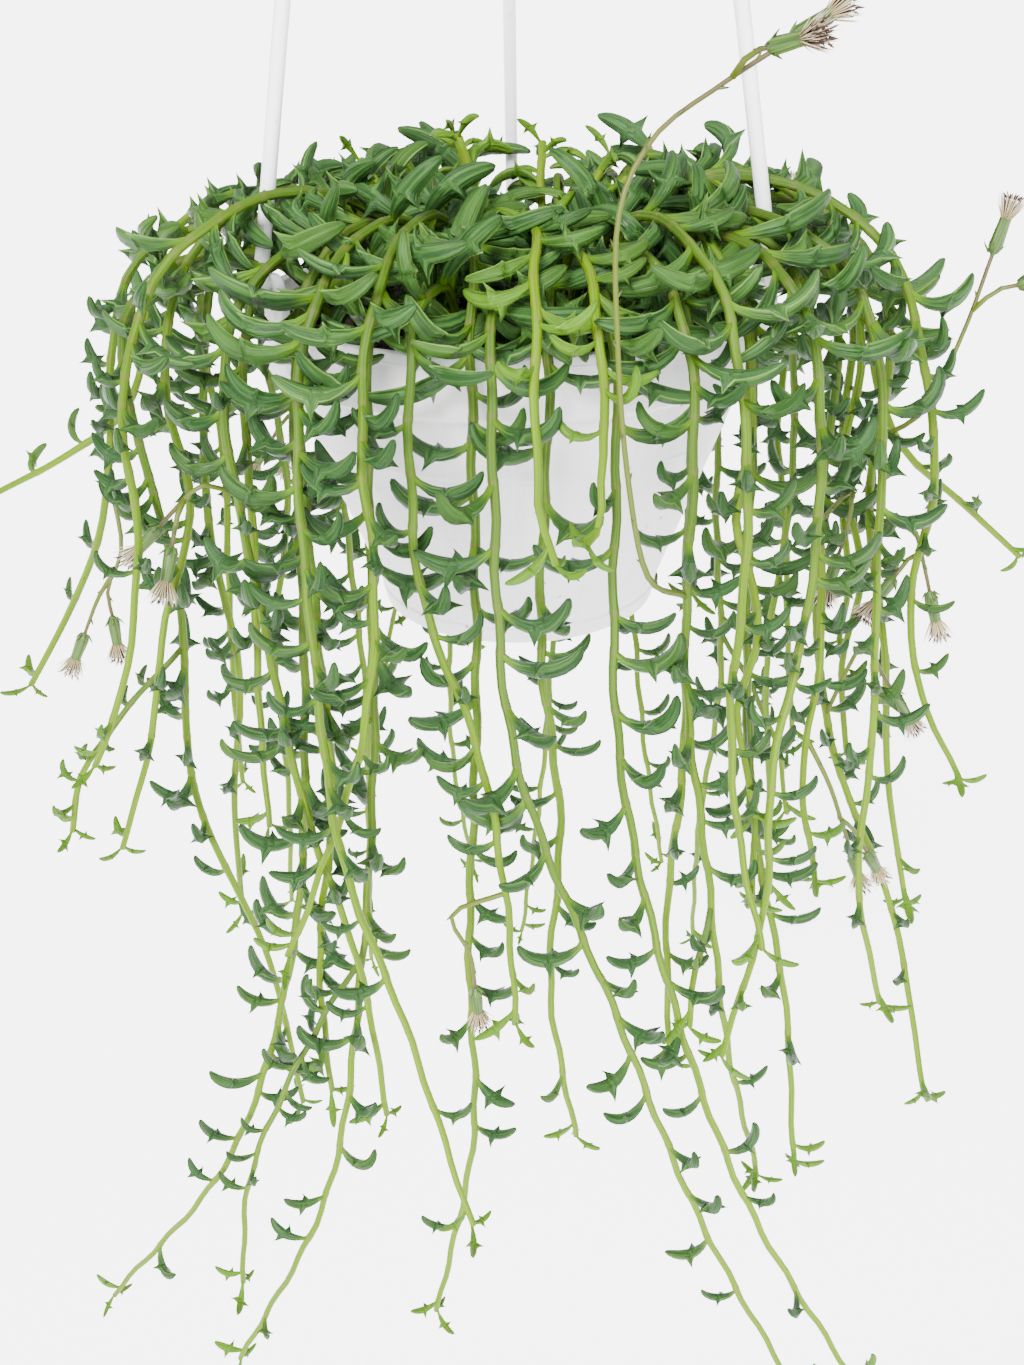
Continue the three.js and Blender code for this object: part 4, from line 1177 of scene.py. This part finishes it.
def stalk_material():
    """Flower stalk: brown with fine lines, and olive away from its head."""
    stalk = Finish("flower_stalk", IOR=1.42)
    stripes = stalk.use(length_stripes, Around=1.5, Along=6.0, Offset=stalk.mark("tint"))[0]
    colour = stalk.over(
        stalk.mixed(stripes, (0.05, 0.034, 0.009), (0.09, 0.068, 0.016)),
        (stalk.ramp(stalk.mark("youth"), 0.97, 0.6), (0.07, 0.095, 0.0006)),
    )
    stalk.surface(colour, stripes, 0.45, 0.6)
    return stalk.material


def cup_material():
    """Seed head's cup: green bracts with dark tips."""
    cup = Finish("seed_cup", IOR=1.42)
    stripes = cup.use(length_stripes, Around=2.6, Along=1.0)[0]
    colour = cup.over(
        cup.mixed(stripes, (0.022, 0.055, 0.008), (0.09, 0.17, 0.025)),
        (cup.ramp(cup.mark("along"), 0.45, 0.75, 0, 0.8), (0.05, 0.025, 0.012)),
    )
    cup.surface(colour, stripes, 0.45, 0.6)
    return cup.material


def tuft_material(name, first, second):
    """Dry bristles: from one colour at the foot to another at the tip."""
    tuft = Finish(name)
    clouds = tuft.use(speckle, Cloud=2.0)["Clouds"]
    colour = tuft.mixed(tuft.ramp(tuft.mark("along"), 0.1, 0.8), first, second)
    colour = tuft.mixed(tuft.ramp(clouds, 0.35, 0.65, 0, 0.35), colour, first)
    tuft.surface(colour, clouds, 0.7, 0.9, 0.3, 0.7)
    return tuft.material


def pot_material():
    """White moulded plastic: soft gloss, faint clouds, a few specks of soil, pale stains and
    fine upright drawing marks."""
    pot = Finish("white_pot_plastic", Subsurface_Weight=0.08, Subsurface_Scale=0.004, IOR=1.46)
    stains, clouds = pot.use(speckle, Size=7.0, Amount=0.07, Cloud=26.0)
    dirt = pot.use(speckle, Size=2.4, Amount=0.02, Cloud=6.0)["Specks"]
    drawn = pot.use(length_stripes, Around=34.0, Along=0.6)[0]
    colour = pot.over(
        pot.mixed(pot.ramp(clouds, 0.35, 0.7), (0.95, 0.95, 0.935), (0.91, 0.915, 0.89)),
        (pot.times(dirt, 0.75), (0.2, 0.15, 0.1)),
        (pot.times(stains, 0.12), (0.45, 0.4, 0.33)),
        (pot.times(drawn, 0.1), (0.6, 0.64, 0.6)),
    )
    pot.surface(colour, clouds, 0.26, 0.4, 0.3, 0.7)
    pot.bump(drawn, 0.0002, 0.3)
    return pot.material


def hanger_material():
    """Glossy white plastic of the hanger, with faint clouds and rubbed dull places."""
    hanger = Finish("white_hanger_plastic", IOR=1.46)
    rubbed, clouds = hanger.use(speckle, Size=3.5, Amount=0.03, Cloud=14.0)
    colour = hanger.over(
        hanger.mixed(hanger.ramp(clouds, 0.35, 0.7), (0.94, 0.945, 0.94), (0.89, 0.9, 0.89)),
        (hanger.times(rubbed, 0.3), (0.4, 0.36, 0.3)),
    )
    hanger.surface(colour, clouds, 0.2, 0.34, 0.3, 0.7)
    hanger.bump(clouds, 0.0004, 0.2)
    return hanger.material


def soil_material(name, dark, light, grain):
    """Peaty potting soil, or a chip or grain in it."""
    soil = Finish(name)
    specks, clouds = soil.use(speckle, Size=grain, Amount=0.4, Cloud=grain * 2)
    colour = soil.mixed(soil.ramp(clouds, 0.35, 0.65), dark, light)
    colour = soil.mixed(soil.times(specks, 0.5), colour, dark)
    soil.surface(colour, clouds, 0.85, 0.98, 0.3, 0.7)
    soil.bump(clouds, 0.002, 0.8)
    return soil.material


PLANT_FINISHES = [
    leaf_material(),
    stem_material(),
    stalk_material(),
    cup_material(),
    tuft_material("seed_tuft", (0.4, 0.31, 0.15), (0.66, 0.58, 0.4)),
    tuft_material("dry_floret", (0.022, 0.008, 0.006), (0.06, 0.024, 0.014)),
]


# Pot, soil and hanger


def carried(piece, slot, *nodes):
    """The piece rides on the one body and stands for its nodes, whose parts it hides. The slot is not used.
    """
    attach(piece, "root")
    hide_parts(*nodes)
    return piece


# The pot's small forms: the hollow under its base, the two rings round its bowl with their
# half height and depth, and where the collar meets the bowl inside
BASE_HOLLOW = 1.6
BASE_HOLLOW_RADIUS = 37
BOWL_RINGS = (-61.5, -38.7)
RING_HALF = 1.1
RING_DEPTH = 0.28
RING_FOOT = 0.38
BOWL_TOP = -20.0
FLOOR_TOP = -POT_HEIGHT + WALL + 0.6


def pot_outline():
    """The wall's profile from under the base, up the outside and down the inside: a foot ring,
    a foot band, two faint rings round the bowl, the collar's step and the rounded lip. Each
    corner has its radius, its height and how far its rounding reaches."""
    foot_top = -POT_HEIGHT + FOOT_HEIGHT
    foot_radius = BASE_RADIUS + FOOT_DRAFT
    corners = [
        (0, -POT_HEIGHT + BASE_HOLLOW, 0),
        (BASE_HOLLOW_RADIUS, -POT_HEIGHT + BASE_HOLLOW, 0.8),
        (BASE_HOLLOW_RADIUS + 1.5, -POT_HEIGHT, 0.8),
        (BASE_RADIUS, -POT_HEIGHT, 1.2),
        (foot_radius + 0.2, foot_top - 0.6, 0.5),
        (foot_radius - 0.2, foot_top, 0.4),
    ]
    for height in BOWL_RINGS:
        wall = bowl_radius(height)
        for rise, proud in (
            (-RING_HALF, -RING_FOOT), (-RING_HALF / 2, -RING_DEPTH), (0, RING_DEPTH), (RING_HALF, RING_FOOT)
        ):
            corners.append((wall + proud, height + rise, 0.3))
    corners += [
        (SHOULDER_RADIUS - 0.9, -COLLAR_HEIGHT - 1.8, 0.8),
        (COLLAR_FOOT_RADIUS - 0.4, -COLLAR_HEIGHT, 0.9),
        (COLLAR_FOOT_RADIUS + 0.2, -COLLAR_HEIGHT + 2.2, 0.9),
        (RIM_RADIUS - 0.5, -3.4, 0.8),
        (RIM_RADIUS, -2.6, 0.6),
        (RIM_RADIUS, 0, 1.1),
        (RIM_RADIUS - 3.4, 0, 1.1),
        (COLLAR_BORE, -COLLAR_HEIGHT + 1, 1),
        (bowl_radius(BOWL_TOP) - WALL, -COLLAR_HEIGHT - 2, 1),
        (BASE_RADIUS - WALL / 2, FLOOR_TOP, 2),
        (0, FLOOR_TOP, 0),
    ]
    return rounded(corners)


def lug_skin(skin, azimuth):
    """A lug: a ring of section round its hole. At each angle the section runs from the hole's
    edge to the tab's outline, with rounded edges."""
    rows = 48
    angle = np.arange(rows) * TURN / rows
    cos, sin = np.cos(angle), np.sin(angle)
    half = LUG_WIDTH / 2
    rise = LUG_HOLE_HEIGHT - (LUG_HEIGHT - half)
    arch = -rise * sin + np.sqrt(half**2 - (rise * cos) ** 2)
    side = half / np.maximum(np.abs(cos), 1e-6)
    foot = (LUG_HOLE_HEIGHT + LUG_ROOT) / np.maximum(-sin, 1e-6)
    outer = np.where(sin > 0, arch, np.minimum(side, foot))
    edge, thick = 0.55, LUG_THICKNESS / 2
    hole = np.full(rows, LUG_HOLE_RADIUS)
    section = [
        (hole + edge, thick), (outer - edge, thick), (outer - edge * 0.3, thick - edge * 0.3),
        (outer, thick - edge), (outer, edge - thick), (outer - edge * 0.3, edge * 0.3 - thick),
        (outer - edge, -thick), (hole + edge, -thick), (hole, edge - thick), (hole, thick - edge),
    ]
    reach = np.stack([r for r, t in section], 1)
    depth = np.array([t for r, t in section])
    x = reach * cos[:, None]
    z = reach * sin[:, None] + LUG_HOLE_HEIGHT
    grid = (
        polar(azimuth, LUG_RADIUS, 0)
        + x[..., None] * sideways(azimuth)
        + depth[None, :, None] * outward(azimuth)
    )
    grid[..., 2] = z
    skin.add(grid[None], None, 0)


def make_pot():
    """The pot: its turned wall and its three lugs in one piece."""
    skin = Skin()
    turned(skin, pot_outline(), 160, 0)
    for azimuth in ARM_AZIMUTHS:
        lug_skin(skin, azimuth)
    carried(skin.piece("pot_moulding", [pot_material()]), "pot_plastic", "pot")


def lumps(x, y, rng):
    """Uneven ground: a sum of waves of several lengths and directions."""
    ways = rng.uniform(0, TURN, 40)
    waves = 2 ** rng.uniform(0, 3.2, 40) * 0.09
    phases = rng.uniform(0, TURN, 40)
    run = np.multiply.outer(x, np.cos(ways) * waves) + np.multiply.outer(y, np.sin(ways) * waves)
    return (np.sin(run + phases) * 0.05 / waves**0.7).sum(-1)


def crumbs(skin, at, sizes, flat, rng, finish):
    """Small uneven lumps: squashed balls of a few faces, each turned its own way."""
    count = len(at)
    rows = np.array([-0.55, 0.1, 0.65])
    ball = level_rings(np.sqrt(1 - rows**2), rows, 6)[None] * rng.uniform(0.72, 1.25, (count, 3, 6, 1))
    ends = np.array([[0, 0, -1.0], [0, 0, 1.0]])[None] * np.ones((count, 1, 1))
    axes = np.linalg.qr(rng.normal(size=(count, 3, 3)))[0]
    axes *= np.sign(np.linalg.det(axes))[:, None, None]
    stretch = np.stack([sizes, sizes * rng.uniform(0.6, 1, count), sizes * flat], -1)

    def set_down(points):
        scaled = points * stretch.reshape(count, *[1] * (points.ndim - 2), 3)
        return np.einsum("n...i,nij->n...j", scaled, axes) + at.reshape(count, *[1] * (points.ndim - 2), 3)

    skin.add(set_down(ball), set_down(ends), finish)


# What lies in the soil: how many, the least size and its spread, the flatness and the finish
SOIL_BITS = (
    (900, 0.8, 1.6, 0.8, 0),
    (90, 1.8, 2.2, 0.35, 1),
    (40, 0.8, 0.8, 0.9, 2),
)
SOIL_FOOT = -POT_HEIGHT + 3


def make_soil():
    """A disc of uneven soil that fills the pot, with crumbs, bark chips and a few pale grains."""
    rng = np.random.default_rng(11)
    skin = Skin()
    radii = np.linspace(1.5, COLLAR_BORE - GAP, 34)
    sides = 120
    cos, sin = circle(sides)
    x, y = radii[:, None] * cos, radii[:, None] * sin
    top = SOIL_TOP - 0.6 + 1.5 * lumps(x, y, rng)
    wall = [
        (COLLAR_BORE - GAP, SOIL_TOP - 4),
        (bowl_radius(BOWL_TOP) - WALL - 0.5, BOWL_TOP - 0.5),
        (BASE_RADIUS - 1.5, SOIL_FOOT),
    ]
    grid = np.concatenate([np.stack([x, y, top], -1), level_rings(*np.array(wall).T, sides)])
    ends = np.array([[0, 0, SOIL_TOP - 0.4], [0, 0, SOIL_FOOT]])
    skin.add(grid[None], ends[None], 0)
    for count, least, spread, flat, finish in SOIL_BITS:
        radius = (COLLAR_BORE - 4) * np.sqrt(rng.uniform(0, 1, count))
        angle = rng.uniform(0, TURN, count)
        x, y = radius * np.cos(angle), radius * np.sin(angle)
        z = SOIL_TOP + 0.4 + rng.uniform(-0.4, 1.0, count)
        sizes = least + spread * rng.uniform(0, 1, count) ** 2
        crumbs(skin, np.stack([x, y, z], 1), sizes, flat, rng, finish)
    finishes = [
        soil_material("potting_soil", (0.006, 0.004, 0.003), (0.026, 0.018, 0.012), 2.0),
        soil_material("bark_chip", (0.02, 0.011, 0.007), (0.07, 0.04, 0.024), 3.0),
        soil_material("pale_grain", (0.16, 0.14, 0.12), (0.36, 0.33, 0.29), 1.5),
    ]
    carried(skin.piece("soil_fill", finishes), "potting_soil", "soil")


# How far a rod's bend at its lug reaches, and its rings
ELBOW = 3.2
ELBOW_STEPS = 9


def make_arm(number, azimuth):
    """A rod that comes out of the hub, bends in at its foot and runs through its lug to a flat
    rounded head."""
    skin = Skin()
    foot, top = arm_foot(azimuth), arm_top(azimuth)
    behind = LUG_RADIUS - LUG_THICKNESS / 2 - GAP
    start = polar(azimuth, behind - PIN_HEAD_LENGTH, LUG_HOLE_HEIGHT)
    up, back = unit(top - foot), unit(start - foot)
    t = np.linspace(0, 1, ELBOW_STEPS)[:, None]
    elbow = (foot + back * ELBOW) * (1 - t) ** 2 + 2 * foot * t * (1 - t) + (foot + up * ELBOW) * t**2
    rise = foot + np.linspace(2 * ELBOW, np.linalg.norm(top - foot), 24)[:, None] * up
    centre = np.vstack([start[None], elbow, rise])
    ahead = unit(np.gradient(centre, axis=0))
    side = np.broadcast_to(sideways(azimuth), centre.shape)
    out = np.cross(ahead, side)
    pin = LUG_HOLE_RADIUS - 2 * GAP
    bent = np.linspace(pin, ROD_RADIUS, ELBOW_STEPS)
    radii = np.concatenate([[pin], bent, np.full(len(rise), ROD_RADIUS)])
    grid = rings(centre, side, out, radii, 20)
    skin.add(grid[None], np.stack([start, top])[None], 0)
    profile = rounded([
        (0, 0, 0),
        (PIN_HEAD_RADIUS, 0, 0.5),
        (PIN_HEAD_RADIUS, PIN_HEAD_LENGTH, 0.6),
        (0, PIN_HEAD_LENGTH, 0),
    ])
    disc = Skin()
    turned(disc, profile, 24, 0)
    across, high, outside = sideways(azimuth), np.array([0, 0, 1.0]), -outward(azimuth)
    points = disc.points[0][0]
    centre = polar(azimuth, behind, LUG_HOLE_HEIGHT)
    flat = points[:, :1] * across + points[:, 1:2] * high + points[:, 2:] * outside + centre
    rows = len(profile) - 2
    skin.add(flat[:-2].reshape(1, rows, 24, 3), flat[-2:][None], 0)
    piece = skin.piece(f"hanger_rod_{number}", [hanger_plastic])
    carried(piece, "hanger_plastic", f"hanger_arm_{number}")


def make_hook():
    """The hub, a turned body with a rounded shoulder, and the hook, a round wire that rises
    from it, leans aside and bends round to a rounded tip."""
    skin = Skin()
    lift = HANG_HEIGHT
    middle = HOOK_BEND + HOOK_RADIUS
    centre = lift - HOOK_BEND
    points = [
        (0, 0, lift + HUB_TOP - HUB_NECK_RADIUS), (0, 0, lift + HUB_TOP + HUB_NECK_RADIUS),
        (middle * 0.35, 0, centre - middle * 1.25), (middle * 0.92, 0, centre - middle * 0.45),
    ]
    for angle in (0, 30, 60, 90, 120, 150, 180, 205):
        turn = math.radians(angle)
        points.append((middle * math.cos(turn), 0, centre + middle * math.sin(turn)))
    wire = Route(points, (0, 1, 0))
    close = wire.total - np.array([1.8, 1.0, 0.4, 0.1])
    lengths = np.concatenate([np.linspace(0, wire.total - HOOK_RADIUS, 70), close])
    tip = np.clip((wire.total - lengths) / HOOK_RADIUS, 0, 1)
    tube(skin, wire, lengths, HOOK_RADIUS * np.sqrt(1 - (1 - tip) ** 2), 24, 0)
    low, high = lift + HUB_TOP - HUB_HEIGHT, lift + HUB_TOP
    profile = rounded([
        (0, low + 0.8, 0),
        (HUB_RADIUS - 2.5, low + 0.8, 0.5),
        (HUB_RADIUS - 2, low, 0.5),
        (HUB_RADIUS, low, 0.9),
        (HUB_RADIUS, high - HUB_SHOULDER, 2.5),
        (HUB_NECK_RADIUS, high, 1.4),
        (0, high, 0),
    ])
    turned(skin, profile, 64, 0)
    carried(skin.piece("hook_and_hub", [hanger_plastic]), "hanger_plastic", "hanger_hook")


# Plant


# The front strands, between these azimuths, carry fewer leaves between the solids' leaves
FRONT = (252, 308)
FRONT_BETWEEN = 2
SIDE_BETWEEN = 4
SHOOT_BETWEEN = 3

# How young the leaves and stems of some strands look all along, by azimuth
FRESH = {
    177: 0.7, 220: 0.55, 240: 0.4, 254: 0.6, 272: 0.95, 281: 0.9,
    301: 0.45, 314: 0.6, 325: 0.5, 346: 0.4, 3: 0.6,
}


def grow_plant():
    """Grows all the leaves in the solids' order first, then those between. Returns, for each
    node of the solids, its stems with their leaves and its stalks."""
    plants = []
    for i, values in enumerate(STRANDS):
        azimuth = values[0]
        route = strand_route(*values)
        branches = [branch_route(route, azimuth, *b) for b in BRANCHES.get(azimuth, [])]
        plants.append({
            "name": f"strand_{i + 1:02d}",
            "stems": [route, *branches],
            "sizes": [(STEM_RADIUS, TIP_RADIUS)] + [(BRANCH_RADIUS, TIP_RADIUS)] * len(branches),
            "stalks": [r for s in STALKS.get(azimuth, []) for r in stalk_routes(route, azimuth, *s)],
            "slot": "foliage",
            "fresh": FRESH.get(azimuth, 0.0),
            "seeds": [1 + i, *(200 + 3 * i + j for j in range(len(branches)))],
            "firsts": [2] + [1] * len(branches),
            "every": LEAF_EVERY,
            "between": FRONT_BETWEEN if FRONT[0] < azimuth < FRONT[1] else SIDE_BETWEEN,
            "reaches": [1.0] + [0.85] * len(branches),
        })
    for i, values in enumerate(SHOOTS):
        plants.append({
            "name": f"shoot_{i + 1:02d}",
            "stems": [shoot_route(*values)],
            "sizes": [(STEM_RADIUS, SHOOT_TIP_RADIUS)],
            "stalks": [],
            "slot": "young_foliage",
            "fresh": 0.25,
            "seeds": [100 + i],
            "firsts": [1],
            "every": 1,
            "between": SHOOT_BETWEEN,
            "reaches": [1.05],
        })
    guard_hanger()
    for owner, plant in enumerate(plants):
        for stem, sizes in zip(plant["stems"], plant["sizes"]):
            guard_route(stem, owner, sizes[0])
        for stalk in plant["stalks"]:
            guard_route(stalk, owner, STALK_RADIUS)
            guard_head(stalk, owner)
    strands = len(STRANDS)
    owners = [*range(strands, len(plants)), *range(strands)]
    for owner in owners:
        plant = plants[owner]
        rows = zip(plant["stems"], plant["seeds"], plant["firsts"], plant["reaches"])
        plant["leaves"] = [
            plain_leaves(stem, owner, seed, first, plant["every"], reach, plant["fresh"])
            for stem, seed, first, reach in rows
        ]
    for owner in owners:
        plant = plants[owner]
        rows = zip(plant["stems"], plant["seeds"], plant["leaves"], plant["reaches"])
        plant["leaves"] = [
            further_leaves(
                stem, owner, 1000 + seed, leaves, plant["every"], plant["between"], reach, plant["fresh"]
            )
            for stem, seed, leaves, reach in rows
        ]
    return plants


def make_plant(number, plant):
    """One grown piece for a node of the solids: its stems, leaves, stalks and seed heads."""
    rng = np.random.default_rng(500 + number)
    skin = Skin()
    leaves = []
    rows = zip(plant["stems"], plant["sizes"], plant["leaves"], plant["seeds"])
    for stem, (thick, thin), on_stem, seed in rows:
        stem_skin(skin, stem, on_stem, thick, thin, rng.uniform(), plant["fresh"])
        leaves += [*on_stem.values(), *end_leaves(stem, 700 + seed)]
    leaves_skin(skin, leaves, rng)
    for stalk in plant["stalks"]:
        stalk_skin(skin, stalk, rng)
        head_skin(skin, stalk, rng)
    carried(skin.piece(plant["name"] + "_grown", PLANT_FINISHES), plant["slot"], plant["name"])


# Stage, light and camera


# In metres from the origin
FLOOR_HALF = 40.0
FLOOR_HEIGHT = -1.25
BACKDROP_GLOW = 3.6
BACKDROP_RISE = (-0.4, 0.25)
FLOOR_COLOUR = (0.86, 0.865, 0.88, 1)
GLOW_COLOUR = (1, 0.995, 0.99, 1)


def make_floor():
    """A wide pale floor, which glows behind the pot like a lit backdrop."""
    mesh = bpy.data.meshes.new("floor")
    signs = ((-1, -1), (1, -1), (1, 1), (-1, 1))
    corners = [(x * FLOOR_HALF, y * FLOOR_HALF, FLOOR_HEIGHT) for x, y in signs]
    mesh.from_pydata(corners, [], [(0, 1, 2, 3)])
    pale = Finish("pale_floor", Roughness=0.9, Base_Color=FLOOR_COLOUR, Emission_Color=GLOW_COLOUR)
    place = pale.node("TexCoord").outputs["Object"]
    back = pale.node("SeparateXYZ", {0: place}).outputs[1]
    pale.put(pale.shader["Emission Strength"], pale.ramp(back, *BACKDROP_RISE, 0, BACKDROP_GLOW))
    mesh.materials.append(pale.material)
    floor = placed("floor", mesh)


SKY_COLOUR = (0.95, 0.97, 1.0, 1)
SKY_STRENGTH = 0.95

# Each sun's strength, its width, its tilt from straight down and its turn, in degrees
SUNS = {"key": (9.6, 22, 55, -20), "fill": (4.3, 90, 78, 30)}

# The lamp for the table's light: its width, its power, its place from the rim's middle in
# metres, and its tilt and turn in degrees
BOUNCE_WIDTH = 0.6
BOUNCE_POWER = 5.6
BOUNCE_PLACE = (0.08, -0.6, -0.28)
BOUNCE_TURNS = (108, 7)


def aimed(name, data, tilt, turn):
    """A lamp, tilted from straight down and then turned about the vertical."""
    lamp = placed(name, data)
    lamp.rotation_euler = (math.radians(tilt), 0, math.radians(turn))
    return lamp


def make_light():
    """Soft daylight: a pale sky, a wide sun from above in front, a wider one low at the side,
    and the light that comes back up in front of the pot from a pale table."""
    world = bpy.data.worlds.new("studio")
    world.use_nodes = True
    background = world.node_tree.nodes["Background"]
    background.inputs["Color"].default_value = SKY_COLOUR
    background.inputs["Strength"].default_value = SKY_STRENGTH
    bpy.context.scene.world = world
    for name, (strength, spread, tilt, turn) in SUNS.items():
        sun = bpy.data.lights.new(name, "SUN")
        sun.energy = strength
        sun.angle = math.radians(spread)
        aimed(name, sun, tilt, turn)
    bounce = bpy.data.lights.new("bounce", "AREA")
    bounce.size = BOUNCE_WIDTH
    bounce.energy = BOUNCE_POWER
    aimed("bounce", bounce, *BOUNCE_TURNS).location = np.add(BOUNCE_PLACE, (0, 0, rim_z))


# The photograph's view, fitted to the pot's rim, base, lugs and rods
CAMERA_PLACE = (-3, -438, 97)
CAMERA_PITCH = math.radians(28.2)
CAMERA_ROLL = math.radians(-1.0)
FOCAL_LENGTH = 1400
PHOTO_HEIGHT = 1365
SENSOR = 36


def make_camera():
    """The camera: pitched down, rolled about its view, with the focal length in pixels."""
    forward = np.array([0, math.cos(CAMERA_PITCH), -math.sin(CAMERA_PITCH)])
    right = np.array([1.0, 0, 0])
    up = np.cross(right, forward)
    cos, sin = math.cos(CAMERA_ROLL), math.sin(CAMERA_ROLL)
    across, high = cos * right + sin * up, cos * up - sin * right
    place = np.array(CAMERA_PLACE) * MM + (0, 0, rim_z)
    data = bpy.data.cameras.new("camera")
    data.sensor_width = data.sensor_height = SENSOR
    data.lens = SENSOR * FOCAL_LENGTH / PHOTO_HEIGHT
    data.clip_start = 0.01
    camera = placed("camera", data)
    matrix = np.eye(4)
    matrix[:3, 0], matrix[:3, 1], matrix[:3, 2], matrix[:3, 3] = across, high, -forward, place
    camera.matrix_world = Matrix(matrix.tolist())
    bpy.context.scene.camera = camera


make_camera()
make_light()
make_floor()
hanger_plastic = hanger_material()
make_pot()
make_soil()
make_hook()
for number, azimuth in enumerate(ARM_AZIMUTHS, 1):
    make_arm(number, azimuth)
for number, plant in enumerate(grow_plant()):
    make_plant(number, plant)
